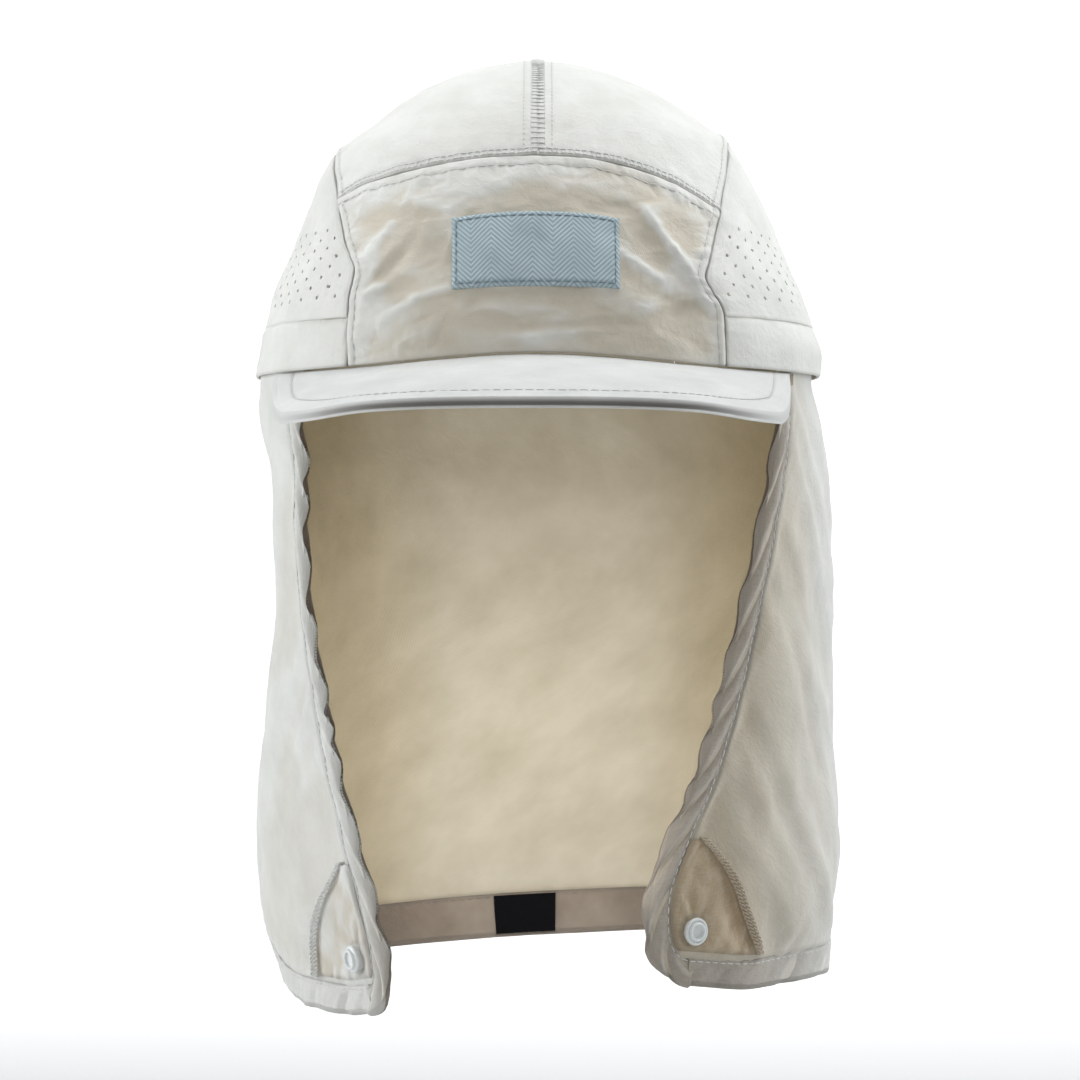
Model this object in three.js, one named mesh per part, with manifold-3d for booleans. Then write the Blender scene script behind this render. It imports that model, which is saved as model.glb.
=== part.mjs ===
// A legionnaire cap: a five-panel crown with a short stiff peak, and a cape that hangs from the crown's rim.
// Millimetres, +Z up, with the peak towards -Y. Left and right are as seen from the front, so right is +X.
// The origin is the centre of the head opening, level with the crown's rim.
import * as THREE from "three";
import { mergeVertices } from "three/addons/utils/BufferGeometryUtils.js";
import Module from "manifold-3d";

const wasm = await Module();
wasm.setup();

// Crown sizes
const crownWidth = 174;
const crownLength = 202;
const crownHeight = 97.6;
const clothThickness = 1.2;
const frontPanelWidth = 110;
const frontPanelHeight = 63.4;
const rimArch = 4.2;
const sideBandHeight = 15;

// Clearances
const seamGap = 0.6;
const layerGap = 0.4;
const facingGap = 0.5;

// Vent holes in the side panels
const ventDiameter = 1.3;
const ventRise = 3.3;
const ventPitch = 10.4;
const ventRows = 6;
const ventColumns = 6;
const ventFromBand = 6.5;
const ventFromSeam = 7;

// Peak sizes
const peakWidth = 153.6;
const peakOffset = -1.9;
const peakReach = 58;
const peakThickness = 3.4;
const peakLip = 0.7;
const peakDrop = 17.5;
const peakBulge = 1.2;

// Woven label on the front panel
const labelWidth = 47.4;
const labelHeight = 23;
const labelThickness = 1;
const labelOffset = -0.6;
const labelCentreHeight = 34.4;

// Cape sizes
const capeDrop = 182;
const capeTuck = 4;
const cornerRadius = 12;
const edgeWidth = 7;
const edgeFlare = 10;
const edgeFlareWidth = 30;
const hemWidth = 13.2;
const facingThickness = 1;

// Corner patches, seam tapes and press studs on the cape's front corners
const patchWidth = 40;
const patchHeight = 43;
const patchBow = 5.6;
const patchThickness = 1;
const tapeWidth = 4;
const tapeThickness = 1.3;
const studDiameter = 8.2;
const studPostDiameter = 3.2;
const studFromEdge = 14.5;
const studFromHem = 14.8;
const studFlange = 1;
const studNub = 1.6;
const STUD_NUBS = {
  left: { outside: 0.78, inside: 0.58 },
  right: { outside: 0.5, inside: 0.32 },
};

// Tab inside the back hem
const tabWidth = 21.5;
const tabOffset = -5.1;
const tabHeight = 12.5;
const tabThickness = 1;

// Columns and rows of each piece's grid, and the sides of round pieces
const GRIDS = {
  frontPanel: [16, 8],
  topPanel: [6, 17],
  sidePanel: [15, 6],
  sideBand: [20, 2],
  label: [8, 3],
  patch: [4, 6],
  tape: [1, 9],
  tab: [4, 2],
};
const peakSteps = 26;
const peakRows = 5;
const cornerSteps = 5;
const ventSides = 5;
const studSides = 12;
const drillLength = 12;

const halfWidth = crownWidth / 2;
const halfLength = crownLength / 2;
const halfFront = frontPanelWidth / 2;

// The crown's reach in its own unit space, where the half width, half length and height are all 1.
// Rise is the angle above the rim in degrees.
const CROWN_PROFILE = [
  { rise: 0, left: 1.006, right: 1.0, front: 1.0, rear: 0.99 },
  { rise: 4, left: 0.993, right: 1.007, front: 1.003, rear: 0.997 },
  { rise: 9, left: 0.979, right: 0.987, front: 1.008, rear: 1.006 },
  { rise: 14, left: 0.974, right: 0.976, front: 1.012, rear: 1.014 },
  { rise: 24, left: 0.961, right: 0.953, front: 1.019, rear: 1.028 },
  { rise: 34, left: 0.976, right: 0.96, front: 1.028, rear: 1.034 },
  { rise: 40, left: 0.999, right: 0.977, front: 1.032, rear: 1.034 },
  { rise: 44, left: 1.005, right: 0.992, front: 1.034, rear: 1.032 },
  { rise: 47, left: 0.998, right: 1.002, front: 1.035, rear: 1.03 },
  { rise: 54, left: 0.984, right: 0.991, front: 1.031, rear: 1.024 },
  { rise: 66, left: 0.991, right: 0.987, front: 1.02, rear: 1.012 },
  { rise: 78, left: 0.997, right: 0.997, front: 1.008, rear: 1.005 },
  { rise: 90, left: 1.004, right: 1.004, front: 1.004, rear: 1.004 },
];
const crownSquareness = 0.15;

// The seams that run from the rim beside the front panel, over the crown, to the rim at the back.
// Over is the angle from the front rim over the top in degrees. The rest are shares of the front panel's
// half width.
const SIDE_SEAMS = [
  { over: 0, left: 0.99, right: 0.985 },
  { over: 8, left: 0.998, right: 0.977 },
  { over: 12.5, left: 0.993, right: 0.965 },
  { over: 16, left: 0.986, right: 0.905 },
  { over: 18.6, left: 0.97, right: 0.869 },
  { over: 22, left: 0.96, right: 0.889 },
  { over: 26, left: 0.99, right: 0.917 },
  { over: 30, left: 1.022, right: 0.941 },
  { over: 42, left: 1.07, right: 0.991 },
  { over: 56, left: 1.098, right: 1.031 },
  { over: 90, left: 1.11, right: 1.04 },
  { over: 130, left: 1.02, right: 0.98 },
  { over: 180, left: 0.8, right: 0.8 },
];

// The seam over the front panel. Across is a share of the panel's half width, over a share of the angle at
// the seam's middle.
const TOP_SEAM = [
  { across: -1.1, over: 1.168 },
  { across: -0.95, over: 1.126 },
  { across: -0.83, over: 1.073 },
  { across: -0.69, over: 1.032 },
  { across: -0.53, over: 1.006 },
  { across: -0.2, over: 0.988 },
  { across: 0.27, over: 0.986 },
  { across: 0.6, over: 0.98 },
  { across: 0.86, over: 0.97 },
  { across: 1.1, over: 0.955 },
];

// Soft folds in the front of the crown, each a ridge or a dent along a line seen from the front.
// Places are shares of the half width and the height, depth is a share of the cloth's thickness.
const CROWN_FOLDS = [
  { x0: 0.4, z0: 0.45, x1: 0.6, z1: 0.22, width: 0.07, depth: 0.9 },
  { x0: 0.28, z0: 0.4, x1: 0.45, z1: 0.2, width: 0.08, depth: -0.8 },
  { x0: 0.58, z0: 0.06, x1: 0.5, z1: 0.2, width: 0.08, depth: -0.9 },
  { x0: -0.58, z0: 0.24, x1: -0.4, z1: 0.44, width: 0.07, depth: 0.8 },
  { x0: -0.5, z0: 0.2, x1: -0.3, z1: 0.36, width: 0.08, depth: -0.7 },
];

// The height of the peak's outer edge, as shares of its drop. Turn is 0 at the front and 90 at the tips.
const PEAK_EDGE = [
  { turn: 0, drop: 0.82 },
  { turn: 30, drop: 0.87 },
  { turn: 50, drop: 0.98 },
  { turn: 65, drop: 1.0 },
  { turn: 77, drop: 0.8 },
  { turn: 85, drop: 0.45 },
  { turn: 90, drop: 0.28 },
];
const peakSquareness = 2.6;
const peakTipTurn = 61;

// The cape's plan at each level: shares of the rim's reach to each side, to the front on each side and to
// the rear, the turns in degrees of its two front edges, and how far those edges flare out as shares of
// edgeFlare. Drop is a share of the cape's drop. A turn of 0 is the middle of the back, -90 the left side
// and 90 the right.
const CAPE_COLUMNS = [
  "drop",
  "left",
  "right",
  "frontLeft",
  "frontRight",
  "rear",
  "leftEdge",
  "rightEdge",
  "leftFlare",
  "rightFlare",
];
const CAPE_LEVELS = [
  [0, 1.0, 0.995, 1.0, 1.0, 1.0, -126.5, 124, 0, 0],
  [0.04, 1.004, 1.003, 1.0, 1.0, 1.0, -126.3, 124.5, 0, 0],
  [0.09, 0.996, 1.023, 1.0, 1.0, 1.0, -125.2, 126, 0, 0],
  [0.15, 0.967, 1.04, 1.0, 0.99, 0.995, -124.6, 129.5, 0.05, 0],
  [0.25, 0.964, 1.056, 1.015, 0.98, 0.99, -125.4, 134, 0.15, 0],
  [0.38, 0.951, 1.062, 1.04, 0.965, 0.985, -127.8, 139, 0.3, 0],
  [0.5, 0.973, 1.065, 1.07, 0.95, 0.98, -134.6, 143.4, 0.45, 0.05],
  [0.65, 0.992, 1.067, 1.1, 0.94, 0.98, -141.6, 149.8, 0.65, 0.15],
  [0.8, 1.001, 1.081, 1.13, 0.93, 0.98, -148.5, 158.5, 0.85, 0.25],
  [0.88, 0.999, 1.073, 1.145, 0.93, 0.98, -151.7, 160.3, 0.95, 0.3],
  [0.93, 0.978, 1.058, 1.15, 0.925, 0.98, -152.7, 159.5, 1, 0.35],
  [0.97, 0.945, 1.05, 1.155, 0.92, 0.98, -152.7, 159, 1, 0.35],
  [1.05, 0.9, 1.045, 1.16, 0.915, 0.98, -152.5, 158.5, 1, 0.35],
].map((row) => Object.fromEntries(CAPE_COLUMNS.map((name, i) => [name, row[i]])));

// How far the hem hangs at each turn, as a share of the cape's drop, and its width as a share of hemWidth.
const HEM_LINE = [
  { turn: -153, drop: 1.01, width: 0.58 },
  { turn: -134, drop: 1.03, width: 0.58 },
  { turn: -120, drop: 1.03, width: 0.58 },
  { turn: -106, drop: 1.013, width: 0.6 },
  { turn: -90, drop: 0.985, width: 0.7 },
  { turn: -45, drop: 1.0, width: 0.92 },
  { turn: 0, drop: 0.984, width: 1.0 },
  { turn: 45, drop: 0.966, width: 0.92 },
  { turn: 90, drop: 0.985, width: 0.7 },
  { turn: 110, drop: 0.99, width: 0.6 },
  { turn: 135, drop: 0.998, width: 0.58 },
  { turn: 159, drop: 0.98, width: 0.58 },
];

// Hanging folds in the cape. Turn and width are in degrees, lean is the turn gained over the whole drop,
// from and to are shares of the drop, and depth is a share of the cloth's thickness.
const CAPE_FOLDS = [
  { turn: -62, width: 10, from: 0.1, to: 1.2, lean: 5, depth: -1.8 },
  { turn: -35, width: 10, from: 0.25, to: 1.2, lean: 2, depth: 1.5 },
  { turn: -8, width: 10, from: 0.1, to: 0.9, lean: -3, depth: -1.2 },
  { turn: 24, width: 10, from: 0.3, to: 1.2, lean: 3, depth: 1.6 },
  { turn: 55, width: 10, from: 0.05, to: 1.0, lean: 8, depth: -1.6 },
  { turn: 118, width: 8, from: 0.0, to: 0.6, lean: -30, depth: -1.6 },
  { turn: 106, width: 8, from: 0.55, to: 1.2, lean: 4, depth: 1.6 },
  { turn: 122, width: 8, from: 0.6, to: 1.2, lean: 6, depth: -1.6 },
];

const rad = THREE.MathUtils.degToRad;
const deg = THREE.MathUtils.radToDeg;
const lerp = THREE.MathUtils.lerp;
const clamp = THREE.MathUtils.clamp;

// A table's column at a key, on a smooth curve through its rows that never overshoots them.
function column(table, key, name, at) {
  const last = table.length - 1;
  if (at <= table[0][key]) return table[0][name];
  if (at >= table[last][key]) return table[last][name];
  let row = 0;
  while (table[row + 1][key] < at) row++;
  const slope = (i) => (table[i + 1][name] - table[i][name]) / (table[i + 1][key] - table[i][key]);
  const tangent = (i) => {
    if (i === 0 || i === last || slope(i - 1) * slope(i) <= 0) return 0;
    return (slope(i - 1) + slope(i)) / 2;
  };
  const span = table[row + 1][key] - table[row][key];
  const t = (at - table[row][key]) / span;
  const keep = 1 - t;
  return (
    table[row][name] * (1 + 2 * t) * keep * keep +
    tangent(row) * span * t * keep * keep +
    table[row + 1][name] * (1 + 2 * keep) * t * t -
    tangent(row + 1) * span * t * t * keep
  );
}

// How far a soft fold pushes the cloth out at a distance from its middle line.
const bump = (distance, width) => Math.exp(-((distance / width) ** 2));

// A level's reach between its ends and its sides, squarer near the rim and round at the top.
function blendedReach(forward, sideways, lengthReach, widthReach, level) {
  const power = 2 + crownSquareness * level * level;
  const along = (forward / lengthReach) ** power;
  const across = (sideways / widthReach) ** power;
  return (along + across) ** (-1 / power);
}

function crownFoldDepth(direction) {
  if (direction.y > 0) return 0;
  let depth = 0;
  for (const fold of CROWN_FOLDS) {
    const run = new THREE.Vector2(fold.x1 - fold.x0, fold.z1 - fold.z0);
    const from = new THREE.Vector2(direction.x - fold.x0, direction.z - fold.z0);
    const share = clamp(from.dot(run) / run.lengthSq(), 0, 1);
    depth += fold.depth * bump(from.addScaledVector(run, -share).length(), fold.width);
  }
  return depth * clothThickness * -direction.y;
}

// The crown's outer surface in a direction of its unit space.
function crownPoint(direction) {
  const d = direction.clone().normalize();
  const level = Math.hypot(d.x, d.y);
  const rise = deg(Math.asin(clamp(d.z, -1, 1)));
  const end = d.y < 0 ? "front" : "rear";
  const ends = column(CROWN_PROFILE, "rise", end, rise);
  const sides = column(CROWN_PROFILE, "rise", d.x < 0 ? "left" : "right", rise);
  const forward = level > 1e-9 ? Math.abs(d.y) / level : 1;
  const sideways = level > 1e-9 ? Math.abs(d.x) / level : 0;
  const reach = blendedReach(forward, sideways, ends, sides, level);
  const grown = 1 + crownFoldDepth(d) / halfLength;
  const size = new THREE.Vector3(halfWidth, halfLength, crownHeight);
  return size.multiply(d).multiplyScalar(reach * grown);
}

// A point of the crown with its outward normal.
function onCrown(direction) {
  const d = direction.clone().normalize();
  const helper = Math.abs(d.z) < 0.9 ? new THREE.Vector3(0, 0, 1) : new THREE.Vector3(0, 1, 0);
  const first = new THREE.Vector3().crossVectors(helper, d).normalize();
  const second = new THREE.Vector3().crossVectors(d, first);
  const step = 0.01;
  const point = crownPoint(d);
  const alongFirst = crownPoint(d.clone().addScaledVector(first, step)).sub(point);
  const alongSecond = crownPoint(d.clone().addScaledVector(second, step)).sub(point);
  return { point, normal: alongFirst.cross(alongSecond).normalize() };
}

const unitSpace = (p) => new THREE.Vector3(p.x / halfWidth, p.y / halfLength, p.z / crownHeight);

// A direction given by its share across and its angle over the crown from the front rim.
function acrossAndOver(across, over) {
  const rest = Math.sqrt(1 - across * across);
  return new THREE.Vector3(across, -rest * Math.cos(rad(over)), rest * Math.sin(rad(over)));
}

// A direction given by its turn from the back, positive to the right, and its height.
function turnAndHeight(turn, height) {
  const up = height / crownHeight;
  const level = Math.sqrt(1 - up * up);
  return new THREE.Vector3(level * Math.sin(rad(turn)), level * Math.cos(rad(turn)), up);
}

const overAtHeight = (across, height) =>
  deg(Math.asin(height / crownHeight / Math.sqrt(1 - across * across)));
const turnOf = (d) => deg(Math.atan2(d.x, d.y));

// The rim lifts in a low arch over the peak.
const archWidth = 0.8 * halfFront;
const rimHeight = (x) => rimArch * bump(x, archWidth);

// Seam lines. Clear is how far a panel stays from the seam, away from the crown's middle or the front rim.
function seamAcross(side, over, clear) {
  const name = side < 0 ? "left" : "right";
  return side * (column(SIDE_SEAMS, "over", name, over) * halfFront + clear) / halfWidth;
}

// The angle over the crown at which the middle of its front reaches a height.
function frontOver(height) {
  let over = overAtHeight(0, height);
  for (let pass = 0; pass < 4; pass++) {
    over = overAtHeight(0, height / column(CROWN_PROFILE, "rise", "front", over));
  }
  return over;
}

const topSeamMiddle = frontOver(frontPanelHeight);

function topSeamOver(across, clear) {
  const share = column(TOP_SEAM, "across", "over", (across * halfWidth) / halfFront);
  return topSeamMiddle * share + deg(clear / halfLength);
}

function rimOver(across) {
  return overAtHeight(across, rimHeight(across * halfWidth));
}

// The angle over the crown at which a side seam meets the top seam, and where it turns down at the back.
function cornerOver(side) {
  let over = topSeamMiddle;
  for (let pass = 0; pass < 4; pass++) over = topSeamOver(seamAcross(side, over, 0), 0);
  return over;
}
const backCornerOver = 132;

// A grid of { point, normal } from a function of two shares.
function gridOf([columns, rows], at) {
  return Array.from({ length: rows + 1 }, (_, j) =>
    Array.from({ length: columns + 1 }, (_, i) => at(i / columns, j / rows)),
  );
}

// A closed solid between two offsets along the normals of a grid.
function shell(grid, high, low) {
  const rows = grid.length;
  const columns = grid[0].length;
  const flat = grid.flat();
  const moved = (offset) => flat.map(({ point, normal }) => point.clone().addScaledVector(normal, offset));
  const points = [...moved(high), ...moved(low)];
  const upper = (i, j) => j * columns + i;
  const lower = (i, j) => upper(i, j) + flat.length;
  const faces = [];
  const quad = (a, b, c, d) => faces.push(a, b, c, a, c, d);
  for (let j = 0; j < rows - 1; j++) {
    for (let i = 0; i < columns - 1; i++) {
      quad(upper(i, j), upper(i + 1, j), upper(i + 1, j + 1), upper(i, j + 1));
      quad(lower(i, j), lower(i, j + 1), lower(i + 1, j + 1), lower(i + 1, j));
    }
  }
  for (let i = 0; i < columns - 1; i++) {
    quad(upper(i, 0), lower(i, 0), lower(i + 1, 0), upper(i + 1, 0));
    quad(upper(i + 1, rows - 1), lower(i + 1, rows - 1), lower(i, rows - 1), upper(i, rows - 1));
  }
  for (let j = 0; j < rows - 1; j++) {
    quad(upper(0, j + 1), lower(0, j + 1), lower(0, j), upper(0, j));
    quad(upper(columns - 1, j), lower(columns - 1, j), lower(columns - 1, j + 1), upper(columns - 1, j + 1));
  }
  return facingOut(geometryOf(points, faces));
}

// A closed solid through a row of closed sections, each an array of as many points.
function sweep(sections) {
  const around = sections[0].length;
  const points = sections.flat();
  const faces = [];
  for (let j = 0; j < sections.length - 1; j++) {
    for (let i = 0; i < around; i++) {
      const next = (i + 1) % around;
      const [a, b] = [j * around + i, j * around + next];
      faces.push(a, b, b + around, a, b + around, a + around);
    }
  }
  return facingOut(geometryOf(points, [...faces, ...channelEnds(sections)]));
}

// The two ends of a channel whose section lists its outer wall and then its inner wall in reverse.
function channelEnds(sections) {
  const around = sections[0].length;
  const half = around / 2;
  const start = (sections.length - 1) * around;
  const faces = [];
  for (let i = 0; i < half - 1; i++) {
    const [a, b, c, d] = [i, i + 1, around - 2 - i, around - 1 - i];
    faces.push(a, d, c, a, c, b);
    faces.push(start + a, start + b, start + c, start + a, start + c, start + d);
  }
  return faces;
}

function geometryOf(points, faces) {
  const geometry = new THREE.BufferGeometry().setFromPoints(points);
  geometry.setIndex(faces);
  return geometry;
}

function signedVolume(geometry) {
  const position = geometry.getAttribute("position");
  const corner = (i) => new THREE.Vector3().fromBufferAttribute(position, geometry.index.getX(i));
  let volume = 0;
  for (let i = 0; i < geometry.index.count; i += 3) {
    volume += corner(i).dot(corner(i + 1).cross(corner(i + 2))) / 6;
  }
  return volume;
}

function facingOut(geometry) {
  if (signedVolume(geometry) > 0) return geometry;
  const index = geometry.index.array;
  for (let i = 0; i < index.length; i += 3) [index[i + 1], index[i + 2]] = [index[i + 2], index[i + 1]];
  return geometry;
}

// Booleans
function solidOf(geometry) {
  const bare = geometry.clone();
  bare.deleteAttribute("normal");
  bare.deleteAttribute("uv");
  const merged = mergeVertices(bare, 1e-4);
  return new wasm.Manifold(
    new wasm.Mesh({
      numProp: 3,
      vertProperties: merged.attributes.position.array,
      triVerts: new Uint32Array(merged.index.array),
    }),
  );
}

function cutAll(geometry, tools) {
  const cut = tools.reduce((solid, tool) => solid.subtract(solidOf(tool)), solidOf(geometry));
  const { vertProperties, triVerts, numProp } = cut.getMesh();
  const result = new THREE.BufferGeometry();
  const position = new Float32Array((vertProperties.length / numProp) * 3);
  for (let i = 0; i < position.length / 3; i++) {
    for (let k = 0; k < 3; k++) position[i * 3 + k] = vertProperties[i * numProp + k];
  }
  result.setAttribute("position", new THREE.BufferAttribute(position, 3));
  result.setIndex([...triVerts]);
  return result;
}

// A pin through the cloth at a point, along its normal.
function drill({ point, normal }, diameter, sides) {
  const tool = new THREE.CylinderGeometry(diameter / 2, diameter / 2, drillLength, sides);
  tool.applyQuaternion(new THREE.Quaternion().setFromUnitVectors(new THREE.Vector3(0, 1, 0), normal));
  return tool.translate(point.x, point.y, point.z);
}

// Crown panels
function frontPanel() {
  const gap = -seamGap / 2;
  const grid = gridOf(GRIDS.frontPanel, (u, v) => {
    const edge = (side) => {
      const over = lerp(rimOver((side * halfFront) / halfWidth), cornerOver(side), v);
      return seamAcross(side, over, gap);
    };
    const across = lerp(edge(-1), edge(1), u);
    return onCrown(acrossAndOver(across, lerp(rimOver(across), topSeamOver(across, gap), v)));
  });
  return shell(grid, 0, -clothThickness);
}

function topPanel(side) {
  const grid = gridOf(GRIDS.topPanel, (u, v) => {
    const seamStart = cornerOver(side);
    const seam = (over) => seamAcross(side, over, -seamGap / 2);
    const middle = (side * seamGap) / 2 / halfWidth;
    const start = topSeamOver(lerp(seam(seamStart), middle, u), seamGap / 2);
    const over = lerp(start, 180, v);
    return onCrown(acrossAndOver(lerp(seam(over), middle, u), over));
  });
  return shell(grid, 0, -clothThickness);
}

// A patch of the crown between four edges, each a function of a share that gives a point.
function crownPatch(size, { bottom, top, front, rear }) {
  return gridOf(size, (u, v) => {
    const point = new THREE.Vector3()
      .addScaledVector(bottom(u), 1 - v)
      .addScaledVector(top(u), v)
      .addScaledVector(front(v), 1 - u)
      .addScaledVector(rear(v), u)
      .addScaledVector(bottom(0), -(1 - u) * (1 - v))
      .addScaledVector(bottom(1), -u * (1 - v))
      .addScaledVector(top(0), -(1 - u) * v)
      .addScaledVector(top(1), -u * v);
    return onCrown(unitSpace(point));
  });
}

// A side seam's point at a height above the rim, at the front of the crown or at its back.
function seamFoot(side, height, atBack) {
  const clear = seamGap / 2;
  const near = seamAcross(side, atBack ? 180 : 0, clear);
  const over = overAtHeight(near, height);
  const along = atBack ? 180 - over : over;
  return { over: along, direction: acrossAndOver(seamAcross(side, along, clear), along) };
}

// A line around one side of the crown at one height, between the feet of its side seam.
function sideLine(side, height) {
  const start = turnOf(seamFoot(side, height, false).direction);
  const end = turnOf(seamFoot(side, height, true).direction);
  return (t) => turnAndHeight(lerp(start, end, t), height);
}

const seamRun = (side, from, to) => (t) => {
  const over = lerp(from, to, t);
  return crownPoint(acrossAndOver(seamAcross(side, over, seamGap / 2), over));
};

function sidePanelEdges(side) {
  const foot = sideBandHeight + seamGap / 2;
  const [front, rear] = [seamFoot(side, foot, false), seamFoot(side, foot, true)];
  const line = sideLine(side, foot);
  return {
    bottom: (t) => {
      if (t === 0) return crownPoint(front.direction);
      return crownPoint(t === 1 ? rear.direction : line(t));
    },
    top: seamRun(side, cornerOver(side), backCornerOver),
    front: seamRun(side, front.over, cornerOver(side)),
    rear: seamRun(side, rear.over, backCornerOver),
  };
}

// The vents lie in rows along the side panel from its front seam, each row half a pitch behind the one below.
function ventPlaces(side) {
  const places = [];
  for (let row = 0; row < ventRows; row++) {
    const height = sideBandHeight + ventFromBand + row * ventRise;
    const seamTurn = Math.abs(turnOf(seamFoot(side, height, false).direction));
    for (let k = 0; k < ventColumns; k++) {
      const along = ventFromSeam + (k + (row % 2) / 2) * ventPitch;
      places.push(onCrown(turnAndHeight(side * (seamTurn - deg(along / halfLength)), height)));
    }
  }
  return places;
}

function sidePanel(side) {
  const cloth = shell(crownPatch(GRIDS.sidePanel, sidePanelEdges(side)), 0, -clothThickness);
  const vents = ventPlaces(side).map((place) => drill(place, ventDiameter, ventSides));
  return cutAll(cloth, vents);
}

function sideBand(side) {
  const top = sideBandHeight - seamGap / 2;
  const rim = rimHeight(halfFront);
  const [low, high] = [seamFoot(side, rim, false), seamFoot(side, top, false)];
  const [lowRear, highRear] = [seamFoot(side, 0, true), seamFoot(side, top, true)];
  const rimTurn = (t) => lerp(turnOf(low.direction), turnOf(lowRear.direction), t);
  const rimPoint = (t) => {
    const x = halfWidth * Math.sin(rad(rimTurn(t)));
    const height = Math.cos(rad(rimTurn(t))) < 0 ? rimHeight(x) : 0;
    return crownPoint(turnAndHeight(rimTurn(t), height));
  };
  const edges = {
    bottom: rimPoint,
    top: (t) => crownPoint(sideLine(side, top)(t)),
    front: (t) => seamRun(side, low.over, high.over)(t),
    rear: (t) => seamRun(side, lowRear.over, highRear.over)(t),
  };
  return shell(crownPatch(GRIDS.sideBand, edges), 0, -clothThickness);
}

function frontLabel() {
  const middle = frontOver(labelCentreHeight);
  const grid = gridOf(GRIDS.label, (u, v) => {
    const across = (labelOffset + (u - 0.5) * labelWidth) / halfWidth;
    const over = middle + deg(((v - 0.5) * labelHeight) / halfLength);
    return onCrown(acrossAndOver(across, over));
  });
  return shell(grid, layerGap + labelThickness, layerGap);
}

// Peak
function peakRow(turn) {
  const rimTurn = 180 - (turn * peakTipTurn) / 90;
  const rim = onCrown(turnAndHeight(rimTurn, 0));
  const inner = rim.point.clone().addScaledVector(rim.normal, -clothThickness);
  inner.z = rimHeight(rim.point.x) - layerGap;
  const tip = crownPoint(turnAndHeight(180 - peakTipTurn, 0));
  const [sine, cosine] = [Math.sin(rad(turn)), Math.cos(rad(turn))];
  const power = 2 / peakSquareness;
  const outer = new THREE.Vector3(
    peakOffset + (Math.sign(sine) * Math.abs(sine) ** power * peakWidth) / 2,
    tip.y - Math.abs(cosine) ** power * (halfLength + peakReach + tip.y),
    rimArch - peakDrop * column(PEAK_EDGE, "turn", "drop", Math.abs(turn)),
  );
  return { inner, outer };
}

function peakSection(turn) {
  const { inner, outer } = peakRow(turn);
  const span = outer.clone().sub(inner);
  const at = (share, below) => {
    const point = inner.clone().addScaledVector(span, share);
    point.z += peakBulge * Math.sin(Math.PI * share) * Math.min(1, span.length() / peakReach) - below;
    return point;
  };
  const shares = Array.from({ length: peakRows + 1 }, (_, i) => i / peakRows);
  const lip = span.clone().setZ(0).normalize().multiplyScalar(peakLip);
  const edge = (below) => at(1, below).add(lip);
  const over = [...shares.map((share) => at(share, 0)), edge(peakThickness / 3)];
  const under = [...shares.map((share) => at(share, peakThickness)), edge((2 * peakThickness) / 3)];
  return [...over, ...under.reverse()];
}

function peak() {
  const turns = Array.from({ length: peakSteps + 1 }, (_, i) => lerp(-90, 90, i / peakSteps));
  return sweep(turns.map(peakSection));
}

// Cape
function capeFoldDepth(turn, drop) {
  let depth = 0;
  for (const fold of CAPE_FOLDS) {
    const middle = fold.turn + fold.lean * drop;
    const [start, end] = [(drop - fold.from) / 0.2, (fold.to - drop) / 0.2];
    const fade = THREE.MathUtils.smoothstep(start, 0, 1) * THREE.MathUtils.smoothstep(end, 0, 1);
    depth += fold.depth * fade * bump(turn - middle, fold.width);
  }
  return depth * clothThickness;
}

// The cape's plan, level by level, just inside the crown's wall at the top.
function capeBase(turn, z) {
  const wall = crownPoint(turnAndHeight(turn, Math.max(z, 0)));
  const drop = -Math.min(z, 0) / capeDrop;
  const side = turn < 0 ? "left" : "right";
  const front = turn < 0 ? "frontLeft" : "frontRight";
  const end = Math.abs(turn) > 90 ? front : "rear";
  return new THREE.Vector3(
    wall.x * column(CAPE_LEVELS, "drop", side, drop),
    wall.y * column(CAPE_LEVELS, "drop", end, drop),
    z,
  );
}

const edgeTurn = (side, z) => column(CAPE_LEVELS, "drop", side < 0 ? "leftEdge" : "rightEdge", -z / capeDrop);

// Degrees of turn for one millimetre along the cape beside a front edge.
function turnPerMm(side, z) {
  const turn = edgeTurn(side, z);
  return 1 / capeBase(turn + 0.5, z).distanceTo(capeBase(turn - 0.5, z));
}

// How far a front edge flares out at a place.
function flareAt(turn, z) {
  const side = Math.sign(turn) || 1;
  const share = column(CAPE_LEVELS, "drop", side < 0 ? "leftFlare" : "rightFlare", -z / capeDrop);
  const fromEdge = (side * (edgeTurn(side, z) - turn)) / turnPerMm(side, z);
  if (fromEdge > edgeFlareWidth) return 0;
  return edgeFlare * share * (1 - fromEdge / edgeFlareWidth) ** 2;
}

// The middle of the cape's cloth with its outward normal, folds and flares included.
function capePoint(turn, z) {
  const step = 0.5;
  const base = capeBase(turn, z);
  const around = capeBase(turn + step, z).sub(capeBase(turn - step, z));
  const down = capeBase(turn, z - step).sub(base);
  const inset = clothThickness * 1.5 + layerGap;
  const out = capeFoldDepth(turn, -z / capeDrop) + flareAt(turn, z) - inset;
  return base.addScaledVector(around.cross(down).normalize(), out);
}

function onCape(turn, z) {
  const step = 1;
  const point = capePoint(turn, z);
  const around = capePoint(turn + step, z).sub(capePoint(turn - step, z));
  const down = capePoint(turn, z - step).sub(capePoint(turn, z + step));
  return { point, normal: around.cross(down).normalize() };
}

const hemZ = (turn) => -capeDrop * column(HEM_LINE, "turn", "drop", turn);
const hemWidthAt = (turn) => hemWidth * column(HEM_LINE, "turn", "width", turn);

// A place on the cape by its distance from a front edge and its height above the hem.
function fromCorner(side, fromEdge, aboveHem) {
  let turn = edgeTurn(side, -capeDrop);
  let z = 0;
  for (let pass = 0; pass < 4; pass++) {
    z = hemZ(turn) + aboveHem;
    turn = edgeTurn(side, z) - side * fromEdge * turnPerMm(side, z);
  }
  return { turn, z };
}

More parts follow.
